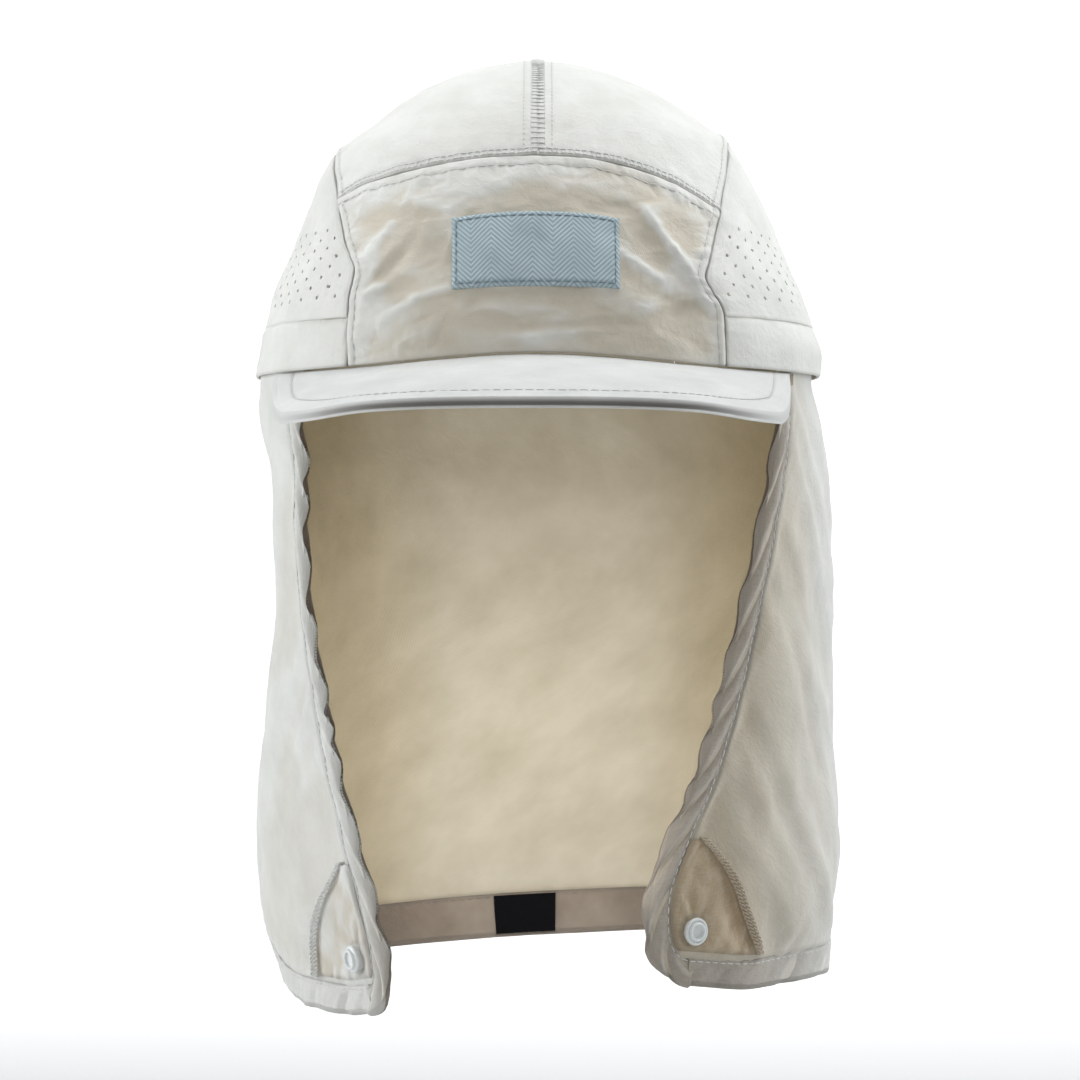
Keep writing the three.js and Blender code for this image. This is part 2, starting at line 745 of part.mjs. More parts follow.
const onCorner = (side, fromEdge, aboveHem) => {
  const { turn, z } = fromCorner(side, fromEdge, aboveHem);
  return onCape(turn, z);
};

// How far the rounded front corner lifts the hem at a distance from the front edge.
function cornerLift(fromEdge) {
  const inside = cornerRadius - Math.min(fromEdge, cornerRadius);
  return cornerRadius - Math.sqrt(cornerRadius ** 2 - inside ** 2);
}

// The cape's grid: rows down its drop, and columns that stay at set distances beside both front edges and lie
// evenly between. Each column gives its turn at a height.
const evenRows = 12;
const evenColumns = 27;
const besideEdge = [0, edgeWidth / 5, edgeWidth / 2, edgeWidth, cornerRadius + seamGap];

function capeColumns() {
  const reach = besideEdge.at(-1);
  const places = [...besideEdge, reach + edgeWidth, reach + 2 * edgeWidth];
  const beside = (side) => places.map((mm) => (z) => edgeTurn(side, z) - side * mm * turnPerMm(side, z));
  const [left, right] = [beside(-1), beside(1)];
  const shares = Array.from({ length: evenColumns - 1 }, (_, i) => (i + 1) / evenColumns);
  const even = shares.map((share) => (z) => lerp(left.at(-1)(z), right.at(-1)(z), share));
  return [...left, ...even, ...right.reverse()];
}

// A place on one column, at a height that depends on its turn and its distance from the nearer front edge.
function onColumn(turnAt, heightAt) {
  let [turn, z] = [0, 0];
  for (let pass = 0; pass < 6; pass++) {
    turn = turnAt(z);
    const side = Math.sign(turn) || 1;
    const fromEdge = (side * (edgeTurn(side, z) - turn)) / turnPerMm(side, z);
    z = heightAt(turn, Math.max(0, fromEdge));
  }
  return onCape(turn, z);
}

// The cape's rows: its tucked top, the crown's rim, the top of its front facings, and even steps to the hem.
const facingTop = -peakThickness - layerGap * 3;
const tuckedRows = [capeTuck, 0, facingTop];
const stepHeight = (turn, fromEdge, step) =>
  lerp(facingTop, hemZ(turn) + cornerLift(fromEdge), step / evenRows);
const evenSteps = Array.from({ length: evenRows }, (_, i) => i + 1);

function cape() {
  const rows = [
    ...tuckedRows.map((height) => () => height),
    ...evenSteps.map((step) => (turn, fromEdge) => stepHeight(turn, fromEdge, step)),
  ];
  const grid = rows.map((heightAt) => capeColumns().map((turnAt) => onColumn(turnAt, heightAt)));
  const cloth = shell(grid, clothThickness / 2, -clothThickness / 2);
  return cutAll(cloth, [-1, 1].map((side) => studHole(side)));
}

// A folded facing around an edge of the cape: its section between a place on the edge and one inwards.
function facingSection(edge, inner) {
  const inwards = inner.point.clone().sub(edge.point).normalize();
  const near = clothThickness / 2 + facingGap;
  const far = near + facingThickness;
  const off = ({ point, normal }, out, past) =>
    point.clone().addScaledVector(normal, out).addScaledVector(inwards, -past);
  const outside = [
    off(inner, far, 0),
    off(edge, far, 0),
    off(edge, near, facingGap + facingThickness),
    off(edge, -near, facingGap + facingThickness),
    off(edge, -far, 0),
    off(inner, -far, 0),
  ];
  const inside = [
    off(inner, near, 0),
    off(edge, near, 0),
    off(edge, near / 2, facingGap),
    off(edge, -near / 2, facingGap),
    off(edge, -near, 0),
    off(inner, -near, 0),
  ];
  return [...outside, ...inside.reverse()];
}

// The facing of a front edge runs from under the peak, down and round the rounded corner to the hem's facing.
const cornerBend = 84;

function frontFacing(side) {
  const sections = [];
  const corner = fromCorner(side, 0, cornerRadius);
  for (const z of [facingTop, ...evenSteps.map((step) => stepHeight(corner.turn, 0, step))]) {
    const place = (inwards) => onCape(edgeTurn(side, z) - side * inwards * turnPerMm(side, z), z);
    sections.push(facingSection(place(0), place(edgeWidth)));
  }
  for (let i = 1; i <= cornerSteps; i++) {
    const angle = rad((cornerBend * i) / cornerSteps);
    const place = (inwards) => {
      const reach = cornerRadius - inwards;
      return onCorner(side, cornerRadius - reach * Math.cos(angle), cornerRadius - reach * Math.sin(angle));
    };
    sections.push(facingSection(place(0), place(edgeWidth)));
  }
  return sweep(sections);
}

// The hem's facing runs along the bottom between the two rounded corners.
function hemFacing() {
  const ends = besideEdge.length - 1;
  const columns = capeColumns().slice(ends, -ends);
  const sections = columns.map((turnAt) => {
    const place = (share) => onColumn(turnAt, (turn) => hemZ(turn) + share * hemWidthAt(turn));
    return facingSection(place(0), place(1));
  });
  return sweep(sections);
}

// Corner patches and seam tapes lie on the cape's outer face, clear of its facings.
const onFace = clothThickness / 2 + facingGap;
const patchInset = edgeWidth + seamGap * 2;
const patchFoot = hemWidthAt(CAPE_LEVELS.at(-1).rightEdge) + seamGap * 2;

// How far in a patch starts at a height above the hem, clear of the front edge's facing and its corner.
function patchStart(aboveHem) {
  const bend = cornerRadius - edgeWidth;
  const below = clamp(cornerRadius - aboveHem, 0, bend);
  return patchInset + bend - Math.sqrt(bend * bend - below * below);
}

// A place beside the slanting edge of a corner patch, by its share of the way down. The edge bows outwards.
const slantTop = new THREE.Vector2(patchInset + tapeWidth / 2, patchHeight);
const slantRun = new THREE.Vector2(patchWidth, patchFoot).sub(slantTop);
const slantOut = new THREE.Vector2(-slantRun.y, slantRun.x).normalize();

function slantPlace(share, beside) {
  const place = slantTop.clone().addScaledVector(slantRun, share);
  place.addScaledVector(slantOut, patchBow * Math.sin(Math.PI * share));
  return { fromEdge: place.x + beside, aboveHem: place.y };
}
const patchTopShare = 0.2;
const tapeTopShare = 0.04;

function cornerPatch(side) {
  const beside = -tapeWidth / 2 - seamGap * 1.5;
  const grid = gridOf(GRIDS.patch, (u, v) => {
    const { fromEdge, aboveHem } = slantPlace(lerp(patchTopShare, 1, v), beside);
    return onCorner(side, lerp(patchStart(aboveHem), fromEdge, u), aboveHem);
  });
  return cutAll(shell(grid, onFace + patchThickness, onFace), [studHole(side)]);
}

function seamTape(side) {
  const grid = gridOf(GRIDS.tape, (u, v) => {
    const { fromEdge, aboveHem } = slantPlace(lerp(tapeTopShare, 1, v), (u - 0.5) * tapeWidth);
    return onCorner(side, fromEdge, aboveHem);
  });
  return shell(grid, onFace + tapeThickness, onFace);
}

// Press studs are clenched through the cape and its corner patch.
const studPlace = (side) => onCorner(side, studFromEdge, studFromHem);
const studHole = (side) => drill(studPlace(side), studPostDiameter + 2 * layerGap, studSides);

function pressStud(side) {
  const [post, rim] = [studPostDiameter / 2, studDiameter / 2];
  const back = -clothThickness / 2 - layerGap;
  const front = onFace + patchThickness + layerGap;
  const face = front + studFlange;
  const nub = side < 0 ? STUD_NUBS.left : STUD_NUBS.right;
  const profile = [
    [0, back - studFlange],
    [rim - studFlange / 2, back - studFlange],
    [rim, back - studFlange / 2],
    [rim, back],
    [post, back],
    [post, front],
    [rim, front],
    [rim, front + studFlange / 2],
    [rim - studFlange / 2, face],
    [rim * nub.outside, face],
    [rim * nub.outside, face + studNub],
    [rim * nub.inside, face + studNub],
    [rim * nub.inside, face + studNub / 3],
    [0, face + studNub / 3],
  ].map(([radius, height]) => new THREE.Vector2(radius, height));
  const { point, normal } = studPlace(side);
  const stud = solidOf(new THREE.LatheGeometry(profile, studSides));
  const { vertProperties, triVerts } = stud.getMesh();
  const body = new THREE.BufferGeometry();
  body.setAttribute("position", new THREE.BufferAttribute(vertProperties, 3));
  body.setIndex([...triVerts]);
  body.applyQuaternion(new THREE.Quaternion().setFromUnitVectors(new THREE.Vector3(0, 1, 0), normal));
  return facingOut(body.translate(point.x, point.y, point.z));
}

// The tab lies on the inner wall of the hem's facing at the back.
function hemTab() {
  const base = -(clothThickness / 2 + facingGap + facingThickness + 2 * layerGap);
  const grid = gridOf(GRIDS.tab, (u, v) => {
    const turn = deg((tabOffset + (u - 0.5) * tabWidth) / halfWidth);
    return onCape(turn, hemZ(turn) + lerp(0, tabHeight, v));
  });
  return shell(grid, base, base - tabThickness);
}

// The model
const cloth = new THREE.MeshStandardMaterial({ color: 0xdcdbd5, roughness: 0.85 });
const peakCloth = new THREE.MeshStandardMaterial({ color: 0xdfdfda, roughness: 0.8 });
const capeCloth = new THREE.MeshStandardMaterial({ color: 0xd6d1c2, roughness: 0.85 });
const labelWeave = new THREE.MeshStandardMaterial({ color: 0x8c9ea6, roughness: 0.7 });
const studPlastic = new THREE.MeshStandardMaterial({ color: 0xe3e6e4, roughness: 0.35 });
const tabBlack = new THREE.MeshStandardMaterial({ color: 0x08080a, roughness: 0.75 });

const legionnaireCap = new THREE.Group();

function add(name, geometry, material) {
  const mesh = new THREE.Mesh(geometry, material);
  mesh.name = name;
  legionnaireCap.add(mesh);
}

add("front_panel", frontPanel(), cloth);
add("front_label", frontLabel(), labelWeave);
add("peak", peak(), peakCloth);
add("cape", cape(), capeCloth);
add("cape_hem", hemFacing(), capeCloth);
add("hem_tab", hemTab(), tabBlack);

for (const [name, side] of [["left", -1], ["right", 1]]) {
  add(`top_panel_${name}`, topPanel(side), cloth);
  add(`side_panel_${name}`, sidePanel(side), cloth);
  add(`side_band_${name}`, sideBand(side), cloth);
  add(`cape_edge_${name}`, frontFacing(side), capeCloth);
  add(`corner_patch_${name}`, cornerPatch(side), capeCloth);
  add(`seam_tape_${name}`, seamTape(side), capeCloth);
  add(`press_stud_${name}`, pressStud(side), studPlastic);
}

export default legionnaireCap;
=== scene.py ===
"""Legionnaire cap: fine cloth, seams, stitches, vents and press studs over the cap's fixed frame, on a plain stage."""

import itertools
import math

import bpy
import numpy as np
from bpy.props import FloatProperty, FloatVectorProperty, PointerProperty
from bpy.types import Operator, Panel, PropertyGroup
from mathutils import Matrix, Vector


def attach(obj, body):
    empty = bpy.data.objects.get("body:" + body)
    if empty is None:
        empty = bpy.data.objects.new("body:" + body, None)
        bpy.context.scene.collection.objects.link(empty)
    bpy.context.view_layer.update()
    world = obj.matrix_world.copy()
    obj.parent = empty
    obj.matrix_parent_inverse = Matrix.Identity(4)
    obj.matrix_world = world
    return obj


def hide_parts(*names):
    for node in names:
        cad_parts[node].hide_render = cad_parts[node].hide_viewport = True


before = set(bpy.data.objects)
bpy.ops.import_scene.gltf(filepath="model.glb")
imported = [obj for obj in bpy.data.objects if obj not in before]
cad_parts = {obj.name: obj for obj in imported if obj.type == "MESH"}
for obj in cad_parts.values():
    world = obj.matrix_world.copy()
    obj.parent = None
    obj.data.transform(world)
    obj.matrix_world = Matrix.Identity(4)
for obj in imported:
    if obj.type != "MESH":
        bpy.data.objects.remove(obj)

bl_info = {
    "name": "Legionnaire cap",
    "version": (1, 0, 0),
    "blender": (4, 5, 0),
    "location": "View3D > Sidebar > Cap",
    "description": "Builds a legionnaire cap's cloth, seams and studs over its frame",
    "category": "Add Mesh",
}

# The cap's own sizes, in millimetres. The origin is the middle of the rim's plane, and the peak points to -Y.
MM = 0.001
CROWN_WIDTH = 174.0
CROWN_LENGTH = 202.0
CROWN_HEIGHT = 97.6
CROWN_SQUARENESS = 0.15
FRONT_WIDTH = 110.0
FRONT_HEIGHT = 63.4
RIM_ARCH = 4.2
BAND_HEIGHT = 15.0
BAND_TUCK = 0.8
FOLD_UNIT = 1.2
SEAM_GAP = 0.3
WEAVE_PITCH = 0.62
PICK_PITCH = 0.45
TWILL_PITCH = 0.8

PEAK_WIDTH = 153.6
PEAK_OFFSET = -1.9
PEAK_REACH = 58.0
PEAK_THICKNESS = 3.4
PEAK_DROP = 17.5
PEAK_BULGE = 1.2
PEAK_SQUARENESS = 2.6
PEAK_TIP_TURN = 61.0
PEAK_CLEARANCE = 0.4
PEAK_STITCH_INSET = 6.5

LABEL_WIDTH = 47.4
LABEL_HEIGHT = 23.4
LABEL_OFFSET = -0.6
LABEL_CENTRE_HEIGHT = 34.4
LABEL_LIFT = 1.15
LABEL_THICKNESS = 0.8
LABEL_STITCH_INSET = 1.35
HERRINGBONE_WIDTH = 5.9
HERRINGBONE_STRIPE = 1.5

CAPE_DROP = 182.0
CAPE_TUCK = 4.0
CAPE_INSET = 2.2
CORNER_RADIUS = 12.0
EDGE_WIDTH = 7.0
EDGE_FLARE = 10.0
EDGE_FLARE_WIDTH = 30.0
HEM_WIDTH = 13.2
FACING_TOP = -4.6
FACING_REACH = 1.5
PUCKER_PITCH = 17.5
PUCKER_LEAN = 2.6

PATCH_WIDTH = 40.0
PATCH_HEIGHT = 43.0
PATCH_BOW = 5.6
PATCH_INSET = 8.2
PATCH_FOOT = 8.86
PATCH_LIFT = 1.1
TAPE_WIDTH = 4.0
PATCH_THICKNESS = 0.5
TAPE_THICKNESS = 0.7
FACING_THICKNESS = 0.5
STUD_FROM_EDGE = 14.5
STUD_FROM_HEM = 14.8

TAB_WIDTH = 21.5
TAB_OFFSET = -5.1
TAB_HEIGHT = 12.5
TAB_LIFT = 3.8
TAB_THICKNESS = 0.8

VENT_RISE = 3.0
VENT_PITCH = 10.4
VENT_ROWS = 8
VENT_COLUMNS = 6
VENT_FROM_BAND = 6.5
VENT_FROM_SEAM = 7.0

HALF_WIDTH = CROWN_WIDTH / 2
HALF_LENGTH = CROWN_LENGTH / 2
HALF_FRONT = FRONT_WIDTH / 2
LEFT, RIGHT = -1, 1
SIDES = {"left": LEFT, "right": RIGHT}


def table(names, *rows):
    """A table with named columns, whose first column is its key."""
    return dict(zip(names.split(), np.array(rows, float).T))


# The crown's reach as shares of its half width, half length and height, by the angle above the rim in degrees.
CROWN_PROFILE = table(
    "rise left right front rear",
    (0, 1.006, 1.0, 1.0, 0.99),
    (4, 0.993, 1.007, 1.003, 0.997),
    (9, 0.979, 0.987, 1.008, 1.006),
    (14, 0.974, 0.976, 1.012, 1.014),
    (24, 0.961, 0.953, 1.019, 1.028),
    (34, 0.976, 0.96, 1.028, 1.034),
    (40, 0.999, 0.977, 1.032, 1.034),
    (44, 1.005, 0.992, 1.034, 1.032),
    (47, 0.998, 1.002, 1.035, 1.03),
    (54, 0.984, 0.991, 1.031, 1.024),
    (66, 0.991, 0.987, 1.02, 1.012),
    (78, 0.997, 0.997, 1.008, 1.005),
    (90, 1.004, 1.004, 1.004, 1.004),
)

# The side seams by the angle over the crown from the front rim, as shares of the front panel's half width.
SIDE_SEAMS = table(
    "over left right",
    (0, 0.99, 0.985),
    (8, 0.998, 0.977),
    (12.5, 0.993, 0.965),
    (16, 0.986, 0.905),
    (18.6, 0.97, 0.869),
    (22, 0.96, 0.889),
    (26, 0.99, 0.917),
    (30, 1.022, 0.941),
    (42, 1.07, 0.991),
    (56, 1.098, 1.031),
    (90, 1.11, 1.04),
    (130, 1.02, 0.98),
    (180, 0.8, 0.8),
)
BACK_CORNER_OVER = 132.0

# The seam over the front panel: shares of its half width, and of the angle over the crown at its middle.
TOP_SEAM = table(
    "across over",
    (-1.1, 1.168),
    (-0.95, 1.126),
    (-0.83, 1.073),
    (-0.69, 1.032),
    (-0.53, 1.006),
    (-0.2, 0.988),
    (0.27, 0.986),
    (0.6, 0.98),
    (0.86, 0.97),
    (1.1, 0.955),
)

# Soft folds of the crown's front, as lines between shares of its half width and height.
CROWN_FOLDS = (
    dict(x0=0.4, z0=0.45, x1=0.6, z1=0.22, width=0.07, depth=0.9),
    dict(x0=0.28, z0=0.4, x1=0.45, z1=0.2, width=0.08, depth=-0.8),
    dict(x0=0.58, z0=0.06, x1=0.5, z1=0.2, width=0.08, depth=-0.9),
    dict(x0=-0.58, z0=0.24, x1=-0.4, z1=0.44, width=0.07, depth=0.8),
    dict(x0=-0.5, z0=0.2, x1=-0.3, z1=0.36, width=0.08, depth=-0.7),
)

# Sharper creases in the front panel, as lines across and up in millimetres.
FRONT_CREASES = (
    dict(x0=31.5, z0=45.5, x1=39.5, z1=35.0, width=1.5, depth=0.75),
    dict(x0=39.5, z0=35.0, x1=47.5, z1=25.0, width=1.6, depth=0.7),
    dict(x0=47.5, z0=25.0, x1=51.5, z1=17.0, width=1.8, depth=0.5),
    dict(x0=29.5, z0=41.0, x1=36.0, z1=30.0, width=3.0, depth=-0.55),
    dict(x0=41.0, z0=43.0, x1=48.0, z1=31.0, width=3.2, depth=-0.6),
    dict(x0=24.0, z0=33.5, x1=35.0, z1=26.5, width=1.3, depth=0.35),
    dict(x0=25.0, z0=27.0, x1=41.0, z1=17.5, width=2.8, depth=-0.45),
    dict(x0=24.5, z0=50.0, x1=34.0, z1=46.0, width=1.8, depth=0.3),
    dict(x0=36.0, z0=12.0, x1=45.0, z1=18.5, width=2.4, depth=-0.35),
    dict(x0=-52.0, z0=31.0, x1=-43.0, z1=42.5, width=1.9, depth=0.6),
    dict(x0=-50.0, z0=24.0, x1=-40.5, z1=32.5, width=2.2, depth=-0.5),
    dict(x0=-46.0, z0=26.5, x1=-36.0, z1=38.0, width=2.6, depth=-0.5),
    dict(x0=-51.0, z0=21.5, x1=-45.0, z1=24.5, width=1.6, depth=0.45),
    dict(x0=-26.0, z0=23.0, x1=-36.0, z1=20.0, width=1.4, depth=0.4),
    dict(x0=-36.0, z0=20.0, x1=-46.0, z1=13.5, width=1.7, depth=0.35),
    dict(x0=-26.0, z0=46.0, x1=-38.0, z1=50.0, width=1.8, depth=0.3),
    dict(x0=-22.0, z0=17.5, x1=8.0, z1=16.0, width=1.7, depth=0.22),
    dict(x0=-5.0, z0=11.0, x1=26.0, z1=13.0, width=1.6, depth=-0.22),
)

PEAK_EDGE = table(
    "turn drop",
    (0, 0.82),
    (30, 0.87),
    (50, 0.98),
    (65, 1.0),
    (77, 0.8),
    (85, 0.45),
    (90, 0.28),
)

# The cape's plan down its drop, its front edges' turns in degrees from the back, and how far those edges flare.
CAPE_LEVELS = table(
    "drop left right front_left front_right rear left_edge right_edge left_flare right_flare",
    (0, 1.0, 0.995, 1.0, 1.0, 1.0, -126.5, 124, 0, 0),
    (0.04, 1.004, 1.003, 1.0, 1.0, 1.0, -126.3, 124.5, 0, 0),
    (0.09, 0.996, 1.023, 1.0, 1.0, 1.0, -125.2, 126, 0, 0),
    (0.15, 0.967, 1.04, 1.0, 0.99, 0.995, -124.6, 129.5, 0.05, 0),
    (0.25, 0.964, 1.056, 1.015, 0.98, 0.99, -125.4, 134, 0.15, 0),
    (0.38, 0.951, 1.062, 1.04, 0.965, 0.985, -127.8, 139, 0.3, 0),
    (0.5, 0.973, 1.065, 1.07, 0.95, 0.98, -134.6, 143.4, 0.45, 0.05),
    (0.65, 0.992, 1.067, 1.1, 0.94, 0.98, -141.6, 149.8, 0.65, 0.15),
    (0.8, 1.001, 1.081, 1.13, 0.93, 0.98, -148.5, 158.5, 0.85, 0.25),
    (0.88, 0.999, 1.073, 1.145, 0.93, 0.98, -151.7, 160.3, 0.95, 0.3),
    (0.93, 0.978, 1.058, 1.15, 0.925, 0.98, -152.7, 159.5, 1, 0.35),
    (0.97, 0.945, 1.05, 1.155, 0.92, 0.98, -152.7, 159, 1, 0.35),
    (1.05, 0.9, 1.045, 1.16, 0.915, 0.98, -152.5, 158.5, 1, 0.35),
)

# How far the hem hangs at each turn, as a share of the cape's drop, and its width as a share of the hem's.
HEM_LINE = table(
    "turn drop width",
    (-153, 1.01, 0.53),
    (-134, 1.03, 0.56),
    (-120, 1.03, 0.58),
    (-106, 1.013, 0.6),
    (-90, 0.985, 0.7),
    (-45, 1.0, 0.92),
    (0, 0.984, 1.0),
    (45, 0.966, 0.92),
    (90, 0.985, 0.7),
    (110, 0.99, 0.6),
    (135, 0.998, 0.56),
    (159, 0.98, 0.53),
)

# The cape's hanging folds. Turn and width are in degrees, lean is the turn gained over the whole drop.
CAPE_FOLDS = (
    dict(turn=-62, width=10, start=0.1, end=1.2, lean=5, depth=-1.8),
    dict(turn=-35, width=10, start=0.25, end=1.2, lean=2, depth=1.5),
    dict(turn=-8, width=10, start=0.1, end=0.9, lean=-3, depth=-1.2),
    dict(turn=24, width=10, start=0.3, end=1.2, lean=3, depth=1.6),
    dict(turn=55, width=10, start=0.05, end=1.0, lean=8, depth=-1.6),
    dict(turn=118, width=8, start=0.0, end=0.6, lean=-30, depth=-1.6),
    dict(turn=106, width=8, start=0.55, end=1.2, lean=4, depth=1.6),
    dict(turn=122, width=8, start=0.6, end=1.2, lean=6, depth=-1.6),
)

# Stations round the peak's front edge: how far out each stands and how deep below the top face it lies
PEAK_EDGE_STATIONS = (
    (0.08, 0.02),
    (0.3, 0.16),
    (0.44, 0.45),
    (0.42, 0.8),
    (0.3, 1.15),
    (0.1, 1.5),
    (-0.12, 1.85),
    (-0.28, 2.2),
    (-0.26, 2.5),
    (0.0, 2.68),
    (0.3, 2.78),
    (0.46, 2.98),
    (0.4, 3.22),
    (0.15, 3.38),
)

# The turned profile of each press stud, radius and height over the cape's cloth: the shared foot, then each face
STUD_FOOT = ((0.0, -2.0), (3.5, -2.0), (4.0, -1.6), (4.1, -1.0), (3.6, 0.4), (3.6, 1.9), (4.0, 2.0), (4.1, 2.35))
STUD_FACES = {
    "right": (
        (4.0, 2.8), (3.75, 3.05), (3.4, 3.05), (3.2, 2.6), (2.95, 2.6), (2.75, 3.55), (2.5, 3.75),
        (2.2, 3.7), (2.05, 3.4), (1.95, 2.7), (1.75, 2.4), (0.7, 2.4), (0.0, 2.4),
    ),
    "left": (
        (4.0, 2.7), (3.7, 2.95), (3.3, 3.0), (3.1, 3.1), (3.0, 3.5), (2.85, 3.8), (2.6, 3.9),
        (2.3, 3.85), (2.1, 3.6), (2.0, 3.3), (1.8, 3.1), (0.0, 3.1),
    ),
}
STUD_AXIS_RADIUS = 0.05
STUD_SIDES = 56

# Soft lamps: name, place in metres, watts, width and height, colour, and the place that each faces
LAMPS = (
    ("left_key", (-0.95, -0.55, 0.35), 1.8, (0.5, 0.9), (1.0, 0.99, 0.96), (0, 0, -0.05)),
    ("right_rim", (1.0, 0.3, 0.25), 6.4, (0.4, 1.0), (0.95, 0.98, 1.0), (0, 0, -0.05)),
    ("left_rim", (-1.0, 0.15, 0.1), 7.5, (0.4, 1.0), (0.95, 0.98, 1.0), (0, 0, -0.05)),
    ("top", (0.2, 0.0, 1.15), 12.4, (0.9, 0.9), (0.97, 0.99, 1.0), (0, 0, -0.05)),
    ("front_fill", (0.35, -1.3, 0.5), 1.9, (0.5, 0.5), (1.0, 0.98, 0.95), (0, 0, -0.05)),
    ("inner_glow", (0.0, -0.11, -0.11), 0.095, (0.05, 0.08), (1.0, 0.96, 0.9), (0, 0.09, -0.11)),
)
INNER_GLOW_SPREAD = 100.0
WIDE_SPREAD = 180.0
STAGE_GLOW = (0.05, 0.05, 0.05)
STAGE_BACKDROP = (0.83, 0.83, 0.83)
WORLD_COLOUR = (0.95, 0.97, 1.0, 1.0)
WORLD_STRENGTH = 0.26
CAMERA_ACROSS = 0.6
SENSOR_WIDTH = 36.0

# The stage's turned floor and wall: distance from the middle and height over the floor, then the wall's top
TENT_FLOOR_AND_WALL = (
    (1.0, 0.0),
    (1200.0, 0.0),
    (2600.0, 0.0),
    (3200.0, 60.0),
    (3600.0, 320.0),
    (3800.0, 800.0),
)
TENT_TOP = (3850.0, 2400.0)
TENT_SIDES = 96

# Columns and rows of each piece's grid of points
GRIDS = {
    "front_panel": (230, 124),
    "top_panel": (72, 200),
    "side_band": (200, 20),
    "label": (110, 56),
    "cape": (325, 142),
    "patch": (62, 84),
    "tape": (22, 100),
    "tab": (46, 26),
}
HEM_SAMPLES = 440
EDGE_SAMPLES = 190
CORNER_SAMPLES = 27
PEAK_SAMPLES = 250
FACING_OUTSIDE_ROWS = 21


# Numbers and vectors
def column(rows, name, at):
    """A table's column at keys, on a smooth curve through its rows that never overshoots them."""
    keys, values = next(iter(rows.values())), rows[name]
    slopes = np.diff(values) / np.diff(keys)
    tangents = np.zeros_like(values)
    rising = slopes[:-1] * slopes[1:] > 0
    tangents[1:-1] = np.where(rising, (slopes[:-1] + slopes[1:]) / 2, 0)
    at = np.clip(at, keys[0], keys[-1])
    row = np.clip(np.searchsorted(keys, at, side="right") - 1, 0, len(keys) - 2)
    span = keys[row + 1] - keys[row]
    t = (at - keys[row]) / span
    keep = 1 - t
    start = values[row] * (1 + 2 * t) + tangents[row] * span * t
    end = values[row + 1] * (1 + 2 * keep) - tangents[row + 1] * span * keep
    return start * keep**2 + end * t**2


def vectors(x, y, z):
    return np.stack(np.broadcast_arrays(x, y, z), axis=-1).astype(float)


def unit(v):
    return v / np.maximum(np.linalg.norm(v, axis=-1, keepdims=True), 1e-12)


def lerp(a, b, t):
    return a + (b - a) * t


def smooth(t):
    t = np.clip(t, 0, 1)
    return t * t * (3 - 2 * t)


def bump(distance, width):
    return np.exp(-((distance / width) ** 2))


def noise(points, scale, seed):
    """Smooth noise between -1 and 1 for each point, with features of about the scale."""
    q = np.asarray(points, float) / scale + 31.7 * seed
    cell = np.floor(q).astype(np.int64)
    f = q - cell
    f = f * f * f * (f * (f * 6 - 15) + 10)
    total = np.zeros(q.shape[:-1])
    for corner in itertools.product((0, 1), repeat=q.shape[-1]):
        c = cell + np.array(corner)
        key = sum(c[..., k] * prime for k, prime in zip(range(q.shape[-1]), (73856093, 19349663, 83492791)))
        key = (key ^ (seed * 2654435761)) & 0xFFFFFFFF
        key = ((key ^ (key >> 15)) * 2246822519) & 0xFFFFFFFF
        key = ((key ^ (key >> 13)) * 3266489917) & 0xFFFFFFFF
        value = ((key ^ (key >> 16)) & 0xFFFF) / 32767.5 - 1
        weight = np.prod(np.where(np.array(corner) == 1, f, 1 - f), axis=-1)
        total += value * weight
    return total


def creases(points, scale, seed, sharpness=7.0):
    """Thin ridges between 0 and 1 along winding lines, as in crumpled cloth."""
    warp = vectors(*(noise(points, scale * 1.6, seed + k) for k in (1, 2, 3)))
    field = noise(points + warp * scale * 0.5, scale, seed)
    return np.exp(-sharpness * (np.sqrt(field**2 + 0.0036) - 0.06))


def crumple(points, seed, stretch=(1, 1, 1)):
    """Millimetres of soft dents and fine creases for worn thin cloth."""
    q = points * np.array(stretch, float)
    q = q + 3.5 * vectors(*(noise(q, 15, seed + k) for k in (1, 2, 3)))
    soft = 0.36 * noise(q, 26, seed) + 0.28 * noise(q, 12, seed + 10) + 0.15 * noise(q, 6, seed + 20)
    sharp = 0.11 * creases(q, 17, seed + 30) - 0.1 * creases(q, 11, seed + 40)
    return soft + 0.05 * noise(q, 3, seed + 25) + sharp


def line_folds(folds, x, z):
    """The sum of ridges and dents along straight lines."""
    total = np.zeros(np.shape(x))
    for f in folds:
        run = np.array([f["x1"] - f["x0"], f["z1"] - f["z0"]])
        share = ((x - f["x0"]) * run[0] + (z - f["z0"]) * run[1]) / (run @ run)
        t = np.clip(share, 0, 1)
        away = np.hypot(x - f["x0"] - t * run[0], z - f["z0"] - t * run[1])
        total = total + f["depth"] * bump(away, f["width"])
    return total


# The crown's outer surface
def crown_point(direction):
    d = unit(direction)
    x, y, z = np.moveaxis(d, -1, 0)
    level = np.maximum(np.hypot(x, y), 1e-9)
    rise = np.degrees(np.arcsin(np.clip(z, -1, 1)))
    ends = np.where(y < 0, column(CROWN_PROFILE, "front", rise), column(CROWN_PROFILE, "rear", rise))
    sides = np.where(x < 0, column(CROWN_PROFILE, "left", rise), column(CROWN_PROFILE, "right", rise))
    power = 2 + CROWN_SQUARENESS * level**2
    reach = ((np.abs(y) / level / ends) ** power + (np.abs(x) / level / sides) ** power) ** (-1 / power)
    folds = np.where(y > 0, 0, -y) * line_folds(CROWN_FOLDS, x, z) * FOLD_UNIT / HALF_LENGTH
    size = np.array([HALF_WIDTH, HALF_LENGTH, CROWN_HEIGHT])
    return size * d * (reach * (1 + folds))[..., None]


def across_and_over(across, over):
    rest = np.sqrt(1 - across**2)
    return vectors(across, -rest * np.cos(np.radians(over)), rest * np.sin(np.radians(over)))


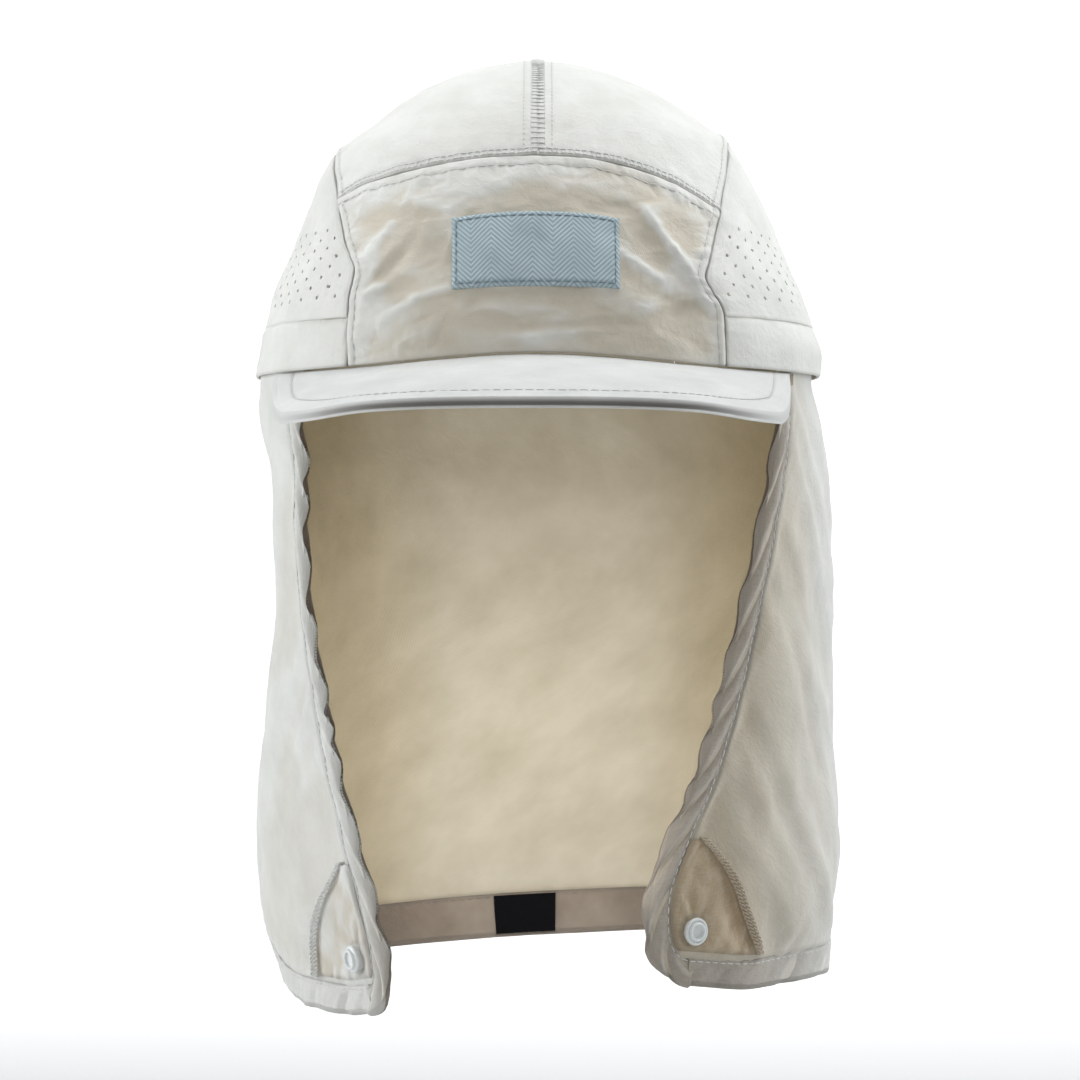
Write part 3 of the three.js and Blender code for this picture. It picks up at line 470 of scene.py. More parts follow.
def turn_and_height(turn, height):
    up = height / CROWN_HEIGHT
    level = np.sqrt(1 - up**2)
    return vectors(level * np.sin(np.radians(turn)), level * np.cos(np.radians(turn)), up)


def over_at_height(across, height):
    return np.degrees(np.arcsin(height / CROWN_HEIGHT / np.sqrt(1 - across**2)))


def turn_of(d):
    return np.degrees(np.arctan2(d[..., 0], d[..., 1]))


def rim_height(x):
    return RIM_ARCH * bump(x, 0.8 * HALF_FRONT)


def seam_across(side, over, clear):
    name = "left" if side < 0 else "right"
    return side * (column(SIDE_SEAMS, name, over) * HALF_FRONT + clear) / HALF_WIDTH


def front_over(height):
    """The angle over the crown at which the middle of its front reaches a height."""
    over = over_at_height(0, height)
    for _ in range(4):
        over = over_at_height(0, height / column(CROWN_PROFILE, "front", over))
    return over


TOP_SEAM_MIDDLE = front_over(FRONT_HEIGHT)


def top_seam_over(across, clear):
    share = column(TOP_SEAM, "over", across * HALF_WIDTH / HALF_FRONT)
    return TOP_SEAM_MIDDLE * share + np.degrees(clear / HALF_LENGTH)


def rim_over(across):
    return over_at_height(across, rim_height(across * HALF_WIDTH))


def corner_over(side):
    over = TOP_SEAM_MIDDLE
    for _ in range(4):
        over = top_seam_over(seam_across(side, over, 0), 0)
    return over


def seam_foot(side, height, at_back):
    """The angle over the crown, and the direction, at which a side seam stands at a height."""
    near = seam_across(side, 180.0 if at_back else 0.0, SEAM_GAP / 2)
    over = over_at_height(near, height)
    along = 180 - over if at_back else over
    return along, across_and_over(seam_across(side, along, SEAM_GAP / 2), along)


# Grids of points: rows run up or down a piece, columns across it
def shares(piece, across=(0, 1), along=(0, 1)):
    """Shares across and along a piece for each point of its grid."""
    columns, rows = GRIDS[piece]
    return np.meshgrid(np.linspace(*across, columns), np.linspace(*along, rows))


def normals_of(points):
    down, across = np.gradient(points, axis=0), np.gradient(points, axis=1)
    return unit(np.cross(across, down))


def facing_out(points, centre):
    """The grid's normals, turned away from a centre."""
    normals = normals_of(points)
    away = ((points - np.array(centre, float)) * normals).sum(axis=-1)
    return normals if np.median(away) > 0 else -normals


def run_along(points, axis):
    """How far each point lies along its row or column, in millimetres."""
    steps = np.linalg.norm(np.diff(points, axis=axis), axis=-1)
    zero = np.zeros_like(np.take(steps, [0], axis=axis))
    return np.concatenate([zero, np.cumsum(steps, axis=axis)], axis=axis)


class Sheet:
    """A grid of one cloth face: its points, outward normals, and each point's distances from the four edges."""

    def __init__(self, points, centre=(0, 0, -40)):
        self.base = points
        self.normals = facing_out(points, centre)
        across, down = run_along(points, 1), run_along(points, 0)
        self.across, self.down = across, down
        self.start, self.end = across, across[:, -1:] - across
        self.bottom, self.top = down, down[-1:, :] - down
        self.points = points
        self.shade = np.zeros(points.shape[:2])
        self.relief = np.zeros(points.shape[:2])
        self.tint = 0.0

    def lift(self, height):
        """Moves the points out along the normals by so many millimetres."""
        self.points = self.points + self.normals * np.asarray(height)[..., None]

    def fold(self, height):
        """Lifts the cloth in broad folds and keeps their relief, from which warm painted shade is laid in their
        hollows.
        """
        self.lift(height)
        self.relief = self.relief + height

    def darken(self, amount):
        # Paints shade: moves each point's colour towards the seam colour by the amount.
        self.shade = np.clip(self.shade + amount, -1, 1)

    def line(self, edge, inset, trim=(0.0, 0.0)):
        """Points and normals on a line that keeps a distance from an edge, on the finished surface."""
        distance = {"start": self.start, "end": self.end, "bottom": self.bottom, "top": self.top}[edge]
        beside = edge in ("start", "end")
        sets = [a if beside else np.swapaxes(a, 0, 1) for a in (distance, self.points, self.normals)]
        found = [[], []]
        for far, points, normals in zip(*sets):
            if far.max() < inset:
                continue
            order = np.argsort(far)
            for k, values in enumerate((points, normals)):
                found[k].append([np.interp(inset, far[order], values[order, axis]) for axis in range(3)])
        points, normals = (np.array(f) for f in found)
        run = run_along(points, 0)
        keep = (run >= trim[0]) & (run <= run[-1] - trim[1])
        return points[keep], unit(normals[keep])


def seam_edge(sheet, distance, run, seed, width=3.0, rise=0.3, pucker=0.3, roll=0.35, stitched=True, dark=0.5):
    """Turns a sheet's edge under at a seam, puckers the stitched band beside it, and paints shade along the seam and
    its stitch groove.
    """
    edge = -roll * bump(distance, 0.4)
    band = rise * smooth((width + 0.5 - distance) / 0.9)
    wave = noise(vectors(run / 3.1, distance / 9, seed), 1.0, seed) + 0.5 * noise(
        vectors(run / 1.5, distance / 5, seed), 1.0, seed + 5
    )
    reach = np.where(distance < width, 0.65 + 0.35 * distance / width, bump(distance - width, 3.2))
    folds = pucker * wave * reach * smooth(distance / 0.8)
    groove = -0.3 * bump(distance - width + 0.35, 0.42) if stitched else 0
    sheet.lift(edge + band + folds + groove)
    sheet.darken(dark * bump(distance, 0.28) + (0.14 * bump(distance - width + 0.3, 0.45) if stitched else 0))


# Meshes
def mesh_piece(name, vertices, faces, materials, indices=None, cloth=None, shade=None, hollow_shade=None, sharp=50):
    """An object in metres from points in millimetres, with its cloth coordinates and shading as attributes."""
    mesh = bpy.data.meshes.new(name)
    mesh.from_pydata((np.asarray(vertices, float) * MM).tolist(), [], [list(f) for f in faces])
    for material in materials:
        mesh.materials.append(material)
    if indices is not None:
        mesh.polygons.foreach_set("material_index", np.asarray(indices, np.int32))
    if cloth is not None:
        layer = mesh.attributes.new("cloth", "FLOAT_VECTOR", "POINT")
        layer.data.foreach_set("vector", np.asarray(cloth, np.float32).ravel())
    for title, values in (("shade", shade), ("hollow_shade", hollow_shade)):
        if values is not None:
            layer = mesh.attributes.new(title, "FLOAT", "POINT")
            layer.data.foreach_set("value", np.asarray(values, np.float32).ravel())
    mesh.shade_smooth()
    mesh.set_sharp_from_angle(angle=math.radians(sharp))
    mesh.update()
    piece = bpy.data.objects.new(name, mesh)
    bpy.context.scene.collection.objects.link(piece)
    return piece


def settle(piece, slot, *nodes):
    """Rides a piece on the cap's body and hides the plain solids that it stands for. The name of its finish is not
    used.
    """
    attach(piece, "root")
    if nodes:
        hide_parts(*nodes)
    return piece


def grid_faces(rows, columns, keep=None):
    """The quads of a grid, as corner numbers, with those that a mask leaves out dropped."""
    number = np.arange(rows * columns).reshape(rows, columns)
    quads = np.stack([number[:-1, :-1], number[:-1, 1:], number[1:, 1:], number[1:, :-1]], axis=-1)
    return quads[keep] if keep is not None else quads.reshape(-1, 4)


def rim_edges(quads):
    """Directed edges that only one quad uses."""
    edges = np.concatenate([quads[:, [k, (k + 1) % 4]] for k in range(4)])
    count = edges.max() + 1
    codes = edges[:, 0] * count + edges[:, 1]
    back = edges[:, 1] * count + edges[:, 0]
    return edges[~np.isin(codes, back)]


def shell_piece(name, sheet, thickness, outside, inside, keep=None):
    """A closed cloth shell under a sheet's face, with one material outside and one inside."""
    rows, columns = sheet.points.shape[:2]
    quads = grid_faces(rows, columns, keep)
    flat = sheet.points.reshape(-1, 3)
    inner = (sheet.points - sheet.normals * np.asarray(thickness)[..., None]).reshape(-1, 3)
    sample = flat[quads[:: max(1, len(quads) // 500)]]
    facing = np.cross(sample[:, 1] - sample[:, 0], sample[:, 2] - sample[:, 0])
    normal = sheet.normals.reshape(-1, 3)[quads[:: max(1, len(quads) // 500), 0]]
    if (facing * normal).sum() < 0:
        quads = quads[:, ::-1]
    rim = rim_edges(quads)
    total = len(flat)
    under = quads[:, ::-1] + total
    walls = np.stack([rim[:, 1], rim[:, 0], rim[:, 0] + total, rim[:, 1] + total], axis=-1)
    faces = np.concatenate([quads, under, walls])
    used, faces = np.unique(faces, return_inverse=True)
    faces = faces.reshape(-1, 4)
    place = vectors(sheet.across, sheet.down, 0).reshape(-1, 3)
    shade = sheet.shade.ravel()
    # Warm painted shade where the folds sink, shifted by the sheet's bias; none on the inner face.
    hollow_shade = smooth(0.42 + sheet.tint - sheet.relief / 1.6).ravel()
    return mesh_piece(
        name,
        np.concatenate([flat, inner])[used],
        faces,
        (outside, inside),
        indices=np.repeat([0, 1, 0], [len(quads), len(under), len(walls)]),
        cloth=np.concatenate([place, place])[used],
        shade=np.concatenate([shade, np.abs(shade) * 0.5])[used],
        hollow_shade=np.concatenate([hollow_shade, 0 * hollow_shade])[used],
    )


def ring_piece(name, rings, materials, indices=None, cloth=None, shade=None, sharp=50):
    """A closed solid through rings of as many points each, capped at both ends."""
    rings = np.asarray(rings, float)
    count, around = rings.shape[:2]
    start = np.arange((count - 1) * around).reshape(count - 1, around)
    turned = np.roll(start, -1, axis=1)
    quads = np.stack([start, turned, turned + around, start + around], axis=-1).reshape(-1, 4)
    ends = [list(range(around))[::-1], list(range((count - 1) * around, count * around))]
    faces = [list(map(int, q)) for q in quads] + ends
    volume = signed_volume(rings.reshape(-1, 3), quads)
    if volume < 0:
        faces = [f[::-1] for f in faces]
    marks = None if indices is None else np.concatenate([np.tile(indices, count - 1), [0, 0]])
    return mesh_piece(name, rings.reshape(-1, 3), faces, materials, marks, cloth, shade, sharp=sharp)


def signed_volume(points, quads):
    a, b, c, d = (points[quads[:, k]] for k in range(4))
    return float((a * np.cross(b, c)).sum() + (a * np.cross(c, d)).sum()) / 6


def lathe_rings(profile, steps, place, normal):
    """Rings of a turned shape about a normal through a place, from (radius, height) pairs."""
    axis = Vector(normal).normalized()
    first = axis.orthogonal().normalized()
    second = axis.cross(first)
    angles = np.arange(steps) / steps * math.tau
    ring = np.cos(angles)[:, None] * np.array(first) + np.sin(angles)[:, None] * np.array(second)
    return np.array([np.array(place) + ring * radius + np.array(axis) * height for radius, height in profile])


# Stitches
CAPSULE_SIDES = 5
CAPSULE_STATIONS = ((0.0, 0.35), (0.1, 0.85), (0.5, 1.0), (0.9, 0.85), (1.0, 0.35))


def capsules(starts, ends, normals, radius, arch):
    """Vertices and faces of short threads from starts to ends that arch a little along the normals."""
    starts, ends, normals = (np.asarray(a, float) for a in (starts, ends, normals))
    run = ends - starts
    forward = unit(run)
    side = unit(np.cross(forward, normals))
    up = np.cross(side, forward)
    angles = np.arange(CAPSULE_SIDES) / CAPSULE_SIDES * math.tau
    rings = []
    for share, size in CAPSULE_STATIONS:
        centre = starts + run * share + normals * (arch * math.sin(math.pi * share))
        around = side[:, None, :] * np.cos(angles)[None, :, None] + up[:, None, :] * np.sin(angles)[None, :, None]
        rings.append(centre[:, None, :] + around * radius * size)
    vertices = np.stack(rings, axis=1)
    stations = len(CAPSULE_STATIONS)
    block = stations * CAPSULE_SIDES
    faces = []
    for j in range(stations - 1):
        for i in range(CAPSULE_SIDES):
            k = (i + 1) % CAPSULE_SIDES
            a, b = j * CAPSULE_SIDES + i, j * CAPSULE_SIDES + k
            faces.append([a, a + CAPSULE_SIDES, b + CAPSULE_SIDES, b])
    caps = [list(range(CAPSULE_SIDES)), list(range(block - CAPSULE_SIDES, block))[::-1]]
    shift = (np.arange(len(starts)) * block)[:, None, None]
    quads = (np.array(faces)[None] + shift).reshape(-1, 4).tolist()
    ends_ = (np.array(caps)[None] + shift).reshape(-1, CAPSULE_SIDES).tolist()
    return vertices.reshape(-1, 3), quads + ends_


class Threads:
    """Collects stitches and turns them into one piece."""

    def __init__(self):
        self.runs = []

    def row(self, line, pitch=2.9, length=2.2, radius=0.2, lift=0.06, arch=0.12):
        """Running stitches along a line of points and normals."""
        points, normals = line
        run = run_along(points, 0)
        count = int(run[-1] // pitch)
        if count < 1:
            return
        begin = (np.arange(count) + 0.5) * run[-1] / count - length / 2
        sample = lambda at, values: np.stack([np.interp(at, run, values[:, k]) for k in range(3)], axis=-1)
        up = unit(sample(begin + length / 2, normals))
        starts, ends = (sample(begin + d, points) + up * lift for d in (0, length))
        self.runs.append(capsules(starts, ends, up, radius, arch))

    def rungs(self, line_a, line_b, pitch=2.3, radius=0.2, lift=0.1, lean=0.0):
        """Stitches across between two lines."""
        (a, up_a), (b, _) = line_a, line_b
        run_a, run_b = run_along(a, 0), run_along(b, 0)
        count = int(run_a[-1] // pitch)
        shares = (np.arange(count) + 0.5) / count
        sample = lambda shares, run, values: np.stack(
            [np.interp(shares * run[-1], run, values[:, k]) for k in range(3)], axis=-1
        )
        up = unit(sample(shares, run_a, up_a))
        starts = sample(shares, run_a, a) + up * lift
        ends = sample(np.clip(shares + lean / run_a[-1], 0, 1), run_b, b) + up * lift
        self.runs.append(capsules(starts, ends, up, radius, 0.1))

    def piece(self, name, material, slot):
        vertices, faces, total = [], [], 0
        for points, quads in self.runs:
            vertices.append(points)
            faces += [[v + total for v in f] for f in quads]
            total += len(points)
        return settle(mesh_piece(name, np.concatenate(vertices), faces, (material,), sharp=80), slot)


# Shader maths
class Socket:
    """An output of a shader node. Arithmetic on it adds Math nodes."""

    def __init__(self, shader, output):
        self.shader, self.output = shader, output

    def math(self, operation, *others):
        return self.shader.node("ShaderNodeMath", {"operation": operation}, dict(enumerate((self, *others))))

    def __add__(self, other):
        return self.math("ADD", other)

    def __sub__(self, other):
        return self.math("SUBTRACT", other)

    def __rsub__(self, other):
        return self.shader.node("ShaderNodeMath", {"operation": "SUBTRACT"}, {0: other, 1: self})

    def __mul__(self, other):
        return self.math("MULTIPLY", other)

    __radd__, __rmul__ = __add__, __mul__


class Shader:
    """A material and its nodes."""

    def __init__(self, name, **constants):
        self.material = bpy.data.materials.new(name)
        self.material.use_nodes = True
        self.tree = self.material.node_tree
        self.surface = self.tree.nodes["Principled BSDF"]
        for socket, value in constants.items():
            self.surface.inputs[socket.replace("_", " ")].default_value = value

    def node(self, kind, settings=None, inputs=None, output=0):
        """Adds a node: its type, its settings, then the values or links of its sockets."""
        made = self.tree.nodes.new(kind)
        for name, value in (settings or {}).items():
            if name == "stops":
                ramp = made.color_ramp
                for k, (at, colour) in enumerate(value):
                    stop = ramp.elements[k] if k < 2 else ramp.elements.new(at)
                    stop.position, stop.color = at, colour
            else:
                setattr(made, name, value)
        for name, value in (inputs or {}).items():
            self.link(value, made.inputs[name])
        return Socket(self, made.outputs[output])

    def link(self, value, socket):
        if isinstance(value, Socket):
            self.tree.links.new(value.output, socket)
        else:
            socket.default_value = value

    def feed(self, name, value):
        self.link(value, self.surface.inputs[name])

    def attribute(self, name, output):
        return self.node("ShaderNodeAttribute", {"attribute_name": name}, output=output)

    def noise(self, place, scale, detail=2.0, roughness=0.5):
        inputs = {"Vector": place, "Scale": scale, "Detail": detail, "Roughness": roughness}
        return self.node("ShaderNodeTexNoise", {}, inputs, "Fac")

    def mix(self, share, first, second, blend="MIX"):
        settings = {"data_type": "RGBA", "blend_type": blend, "clamp_factor": True}
        return self.node("ShaderNodeMix", settings, {0: share, 6: first, 7: second}, 2)

    def scaled(self, place, factors):
        return self.node("ShaderNodeVectorMath", {"operation": "MULTIPLY"}, {0: place, 1: factors})

    def axis(self, place, name):
        return self.node("ShaderNodeSeparateXYZ", {}, {0: place}, name)

    def between(self, value, low, high):
        return self.node("ShaderNodeMapRange", {}, {"Value": value, "From Min": low, "From Max": high})

    def bumped(self, height, distance, strength=1.0, below=None):
        inputs = {"Height": height, "Distance": distance, "Strength": strength}
        if below is not None:
            inputs["Normal"] = below
        return self.node("ShaderNodeBump", {}, inputs)


def colour4(colour):
    return (*colour, 1.0)


def cloth_material(name, colour, seam, right_shade=None, glow=None, hollows=1.0, crinkle=0.00022, roughness=0.78):
    """Thin crinkled nylon: mottled, with painted shade in its seams and warm painted shade in its hollows, and a plain
    weave, slubs and fine creases in its bump. Its fourth argument is a painted shade colour that the cloth takes on
    its front right side, with the places where it starts and ends, and its fifth a painted shade colour that it takes
    towards both sides."""
    s = Shader(name, Sheen_Weight=0.25, Sheen_Roughness=0.5, Specular_IOR_Level=0.3)
    place, shade = s.attribute("cloth", "Vector"), s.attribute("shade", "Fac")
    base = colour4(colour)
    # Painted shade: the cloth darkens and warms towards its front right side.
    if right_shade:
        tone, start, end = right_shade
        world = s.node("ShaderNodeTexCoord", {}, {}, "Object")
        side = 0.5 * s.axis(world, "X") - s.axis(world, "Y")
        base = s.mix(s.between(side, start, end), base, colour4(tone))
    # Painted shade: the cloth darkens and warms towards both sides.
    if glow:
        tone, start, end = glow
        sideways = s.axis(s.node("ShaderNodeTexCoord", {}, {}, "Object"), "X").math("ABSOLUTE")
        base = s.mix(s.between(sideways, start, end), base, colour4(tone))
    # Warm painted shade in the hollows of the folds.
    hollow_shade = s.between(s.attribute("hollow_shade", "Fac"), 0.35, 0.95) * hollows
    base = s.mix(hollow_shade, base, (0.82, 0.745, 0.64, 1.0), "MULTIPLY")
    clouds = s.noise(place, 0.05, 3.0, 0.6)
    base = s.mix(0.5 * s.between(clouds, 0.35, 0.75), base, colour4([c * 0.9 for c in colour]), "MULTIPLY")
    threads = s.noise(s.scaled(place, (0.9, 9.0, 1)), 0.35, 2.0) + s.noise(s.scaled(place, (9.0, 0.9, 1)), 0.35, 2.0)
    base = s.mix(0.22 * s.between(threads, 0.8, 1.25), base, colour4([c * 0.86 for c in colour]))
    # Painted shade in seams, stitch grooves and gaps: the shade attribute mixes in the seam colour.
    base = s.mix(shade, base, colour4(seam))
    s.feed("Base Color", base)
    s.feed("Roughness", s.between(clouds, 0.0, 1.0) * 0.1 + (roughness - 0.05))
    across, along = s.axis(place, "X"), s.axis(place, "Y")
    weft = (across * (math.tau / WEAVE_PITCH)).math("SINE") * (along * (math.tau / WEAVE_PITCH)).math("SINE")
    fine = s.noise(place, 0.55, 4.0, 0.62)
    creased = (s.noise(place, 0.2, 3.0, 0.55) - 0.5).math("ABSOLUTE")
    folded = 1 - s.between(creased, 0.0, 0.09)
    normal = s.bumped(weft + 0.5 * threads, 0.00005, 0.8)
    normal = s.bumped(fine + 0.35 * folded, crinkle, 0.75, normal)
    s.feed("Normal", normal)
    return s.material


def thread_material(name, colour):
    s = Shader(name, Roughness=0.6, Sheen_Weight=0.3)
    place = s.node("ShaderNodeTexCoord", {}, {}, "Object")
    twist = s.noise(place, 4000.0, 1.0)
    s.feed("Base Color", s.mix(s.between(twist, 0.3, 0.7), colour4([c * 0.82 for c in colour]), colour4(colour)))
    s.feed("Normal", s.bumped(twist, 0.00005, 0.6))
    return s.material


def label_material(name, colours):
    """A close herringbone: stripes that lean one way and then the other in columns, in two tones of thread."""
    s = Shader(name, Roughness=0.7, Sheen_Weight=0.3)
    place = s.attribute("cloth", "Vector")
    across, along = s.axis(place, "X"), s.axis(place, "Y")
    zigzag = across.math("PINGPONG", HERRINGBONE_WIDTH)
    rib = ((along + zigzag) * (math.tau / HERRINGBONE_STRIPE)).math("SINE") * 0.5 + 0.5
    threads = s.noise(s.scaled(place, (9, 1.2, 1)), 0.6, 2.0)
    dark, light = (colour4(c) for c in colours)
    tone = s.mix(s.between(rib + 0.5 * threads, 0.3, 1.1), dark, light)
    tone = s.mix(0.5 * s.between(s.noise(place, 0.09, 3.0), 0.4, 0.7), tone, dark)
    # Painted shade along the label's edge and stitch line, from the shade attribute.
    s.feed("Base Color", s.mix(s.attribute("shade", "Fac"), tone, colour4([c * 0.45 for c in colours[0]])))
    picks = (across * (math.tau / PICK_PITCH)).math("SINE") * (along * (math.tau / PICK_PITCH)).math("SINE")
    s.feed("Normal", s.bumped(rib + 0.4 * threads + 0.2 * picks, 0.00014, 0.8))
    return s.material


def stud_material(name, colour):
    s = Shader(name, Roughness=0.35, Coat_Weight=0.25)
    place = s.node("ShaderNodeTexCoord", {}, {}, "Object")
    clouds = s.noise(place, 900.0, 2.0)
    shade = 0.35 * s.between(clouds, 0.3, 0.7)
    s.feed("Base Color", s.mix(shade, colour4(colour), colour4([c * 0.85 for c in colour])))
    s.feed("Normal", s.bumped(clouds, 0.00003, 0.5))
    return s.material


def tab_material(name, colour):
    s = Shader(name, Roughness=0.9, Specular_IOR_Level=0.1)
    place = s.attribute("cloth", "Vector")
    twill = ((s.axis(place, "X") + s.axis(place, "Y")) * (math.tau / TWILL_PITCH)).math("SINE")
    s.feed("Base Color", s.mix(0.5 * twill + 0.5, colour4(colour), colour4([c * 2.2 for c in colour])))
    s.feed("Normal", s.bumped(twill, 0.0001, 0.7))
    return s.material


def stage_material(name, colour, glow, backdrop):
    """A pale floor and wall that glow a little, and brightly where they stand behind the cap in the photograph."""
    s = Shader(name, Base_Color=colour4(colour), Roughness=0.9, Specular_IOR_Level=0.1, Emission_Strength=1.0)
    world = s.node("ShaderNodeTexCoord", {}, {}, "Object")
    beside = s.between(s.axis(world, "X").math("ABSOLUTE"), 1.5, 0.8)
    behind = s.between(s.axis(world, "Y"), 0.5, 1.2)
    s.feed("Emission Color", s.mix(beside * behind, colour4(glow), colour4(backdrop)))
    return s.material


# The user's sizes and colours
def tone(name, description, default):
    limits = dict(subtype="COLOR", size=3, min=0.0, max=1.0)
    return FloatVectorProperty(name=name, description=description, default=default, **limits)


def length(name, description, default_mm):
    unit_ = dict(subtype="DISTANCE", unit="LENGTH")
    return FloatProperty(name=name, description=description, default=default_mm * MM, **unit_)


class CapSizes(PropertyGroup):
    cloth_thickness: length("Cloth", "Thickness of the cloth", 0.7)
    stitch_length: length("Stitch", "Length of one running stitch", 2.1)
    thread_radius: length("Thread", "Radius of the sewing thread", 0.17)
    seam_band: length("Seam band", "Distance from a seam to the topstitch beside it", 2.9)
    vent_diameter: length("Vent", "Diameter of one vent hole", 1.15)
    lens: FloatProperty(name="Lens", description="Camera lens", subtype="DISTANCE_CAMERA", default=155.9)
    camera_distance: length("Camera distance", "From the cap's middle to the camera", 1450)
    camera_height: length("Camera height", "Height of the camera over the rim, below it if negative", -50)
    floor_drop: length("Floor", "How far the floor lies under the rim", 300)


class CapColours(PropertyGroup):
    crown: tone("Crown", "Crown cloth", (0.8, 0.8, 0.765))
    # Painted shade inside the crown: a darker, warmer copy of the crown cloth.
    crown_inside: tone("Crown inside", "Crown cloth, inside", (0.62, 0.58, 0.48))
    peak: tone("Peak", "Peak cloth", (0.69, 0.695, 0.68))
    cape: tone("Cape", "Cape cloth, outside", (0.76, 0.76, 0.73))
    # Painted shade on the front right side: darker, warmer copies of the cape cloth and of its facings.
    cape_dusk: tone("Cape, front right", "Cape cloth on its front right side", (0.57, 0.51, 0.4))
    facing_dusk: tone("Facing, front right", "Cape facing on its front right side", (0.4, 0.355, 0.3))
    # Painted shade and warm bounce light inside the cape: a darker, warmer copy of the cape cloth.
    cape_inside: tone("Cape inside", "Cape cloth, inside", (0.64, 0.6, 0.5))
    # Painted shade towards the sides inside the cape.
    inside_glow: tone("Cape inside, sides", "Cape cloth towards its sides, inside", (0.44, 0.36, 0.21))
    # Painted shade inside the hem: a darker copy of the cape cloth.
    hem_inside: tone("Hem", "Hem facing, inside", (0.36, 0.31, 0.26))
    # Painted shade towards the sides inside the hem.
    hem_glow: tone("Hem, sides", "Hem facing towards its sides, inside", (0.17, 0.13, 0.1))
    # Painted shade that the corner patches take towards the front right, over the cape's own colour.
    patch: tone("Patch", "Corner patch on the right", (0.45, 0.35, 0.22))
    # The colour of painted shade in seams, grooves and stitch lines.
    seam: tone("Seam", "The dark of the seams", (0.13, 0.12, 0.11))
    thread: tone("Thread", "Sewing thread", (0.72, 0.73, 0.71))
    # A shaded copy of the thread: painted shade on the right tape's stitches.
    patch_thread: tone("Patch thread", "Overlocked thread on the right", (0.5, 0.42, 0.31))
    # A shaded copy of the thread: painted shade on the stitches inside the hem.
    inside_thread: tone("Inside thread", "Sewing thread, inside", (0.26, 0.22, 0.18))
    label_light: tone("Label light", "Label's light thread", (0.56, 0.67, 0.72))
    label_dark: tone("Label dark", "Label's dark thread", (0.3, 0.4, 0.45))
    label_thread: tone("Label thread", "Label's stitches", (0.2, 0.28, 0.33))
    stud: tone("Stud", "Press studs", (0.8, 0.83, 0.83))
    tab: tone("Tab", "Tab inside the hem", (0.003, 0.003, 0.004))
    floor: tone("Floor", "Floor and backdrop", (0.62, 0.62, 0.62))


def finishes():
    """The materials by name, made once from the user's colours."""
    colours = bpy.context.scene.cap_colours
    seam = tuple(colours.seam)
    makers = {
        "crown_cloth": lambda n: cloth_material(n, colours.crown, seam),
        "crown_inside": lambda n: cloth_material(n, colours.crown_inside, seam),
        "peak_cloth": lambda n: cloth_material(n, colours.peak, seam, crinkle=0.0001),
        "cape_cloth": lambda n: cloth_material(n, colours.cape, seam, (colours.cape_dusk, 0.072, 0.103), hollows=0.35),
        "facing_cloth": lambda n: cloth_material(n, colours.cape, seam, (colours.facing_dusk, 0.07, 0.1)),
        "cape_inside": lambda n: cloth_material(
            n, colours.cape_inside, seam, glow=(colours.inside_glow, 0.03, 0.075), hollows=0.2, crinkle=0.00008
        ),
        "hem_inside": lambda n: cloth_material(n, colours.hem_inside, seam, glow=(colours.hem_glow, 0.02, 0.06)),
        # The patches are cape cloth with painted shade towards the front right.
        "patch_cloth": lambda n: cloth_material(n, colours.cape, seam, (colours.patch, 0.068, 0.1)),
        "thread": lambda n: thread_material(n, colours.thread),
        "patch_thread": lambda n: thread_material(n, colours.patch_thread),
        "inside_thread": lambda n: thread_material(n, colours.inside_thread),
        "label_weave": lambda n: label_material(n, (colours.label_dark, colours.label_light)),
        "label_thread": lambda n: thread_material(n, colours.label_thread),
        "stud_plastic": lambda n: stud_material(n, colours.stud),
        "tab_cloth": lambda n: tab_material(n, colours.tab),
        "stage": lambda n: stage_material(n, colours.floor, STAGE_GLOW, STAGE_BACKDROP),
    }

    def finish(name):
        title = f"cap_{name}"
        return bpy.data.materials.get(title) or makers[name](title)

    return finish


def cap_sizes():
    """The user's sizes in millimetres."""
    sizes = bpy.context.scene.cap_sizes
    return {name: getattr(sizes, name) / MM for name in CapSizes.__annotations__}


# The crown
def front_sheet():
    u, v = shares("front_panel")

    def edge(side):
        over = lerp(rim_over(side * HALF_FRONT / HALF_WIDTH), corner_over(side), v)
        return seam_across(side, over, -SEAM_GAP / 2)

    across = lerp(edge(LEFT), edge(RIGHT), u)
    over = lerp(rim_over(across), top_seam_over(across, -SEAM_GAP / 2), v)
    return Sheet(crown_point(across_and_over(across, over)))


def top_sheet(side):
    u, v = shares("top_panel")
    v = v**1.12
    middle = side * SEAM_GAP / 4 / HALF_WIDTH
    seam_start = seam_across(side, corner_over(side), -SEAM_GAP / 2)
    start = top_seam_over(lerp(seam_start, middle, u), SEAM_GAP / 2)
    over = lerp(start, 180, v)
    across = lerp(seam_across(side, over, -SEAM_GAP / 2), middle, u)
    return Sheet(crown_point(across_and_over(across, over)))


def coons(u, v, bottom, top, front, rear):
    """A patch between four edges, each a function of shares, pressed on to the crown's surface."""
    zero, one = np.zeros(1), np.ones(1)
    u_, v_ = u[..., None], v[..., None]
    blend = bottom(u) * (1 - v_) + top(u) * v_ + front(v) * (1 - u_) + rear(v) * u_
    blend -= bottom(zero) * (1 - u_) * (1 - v_) + bottom(one) * u_ * (1 - v_)
    blend -= top(zero) * (1 - u_) * v_ + top(one) * u_ * v_
    return crown_point(blend / np.array([HALF_WIDTH, HALF_LENGTH, CROWN_HEIGHT]))


def seam_run(side, start, end):
    def at(t):
        over = lerp(start, end, t)
        return crown_point(across_and_over(seam_across(side, over, SEAM_GAP / 2), over))

    return at


def side_line(side, height):
    start = turn_of(seam_foot(side, height, False)[1])
    end = turn_of(seam_foot(side, height, True)[1])
    return lambda t: crown_point(turn_and_height(lerp(start, end, t), height))


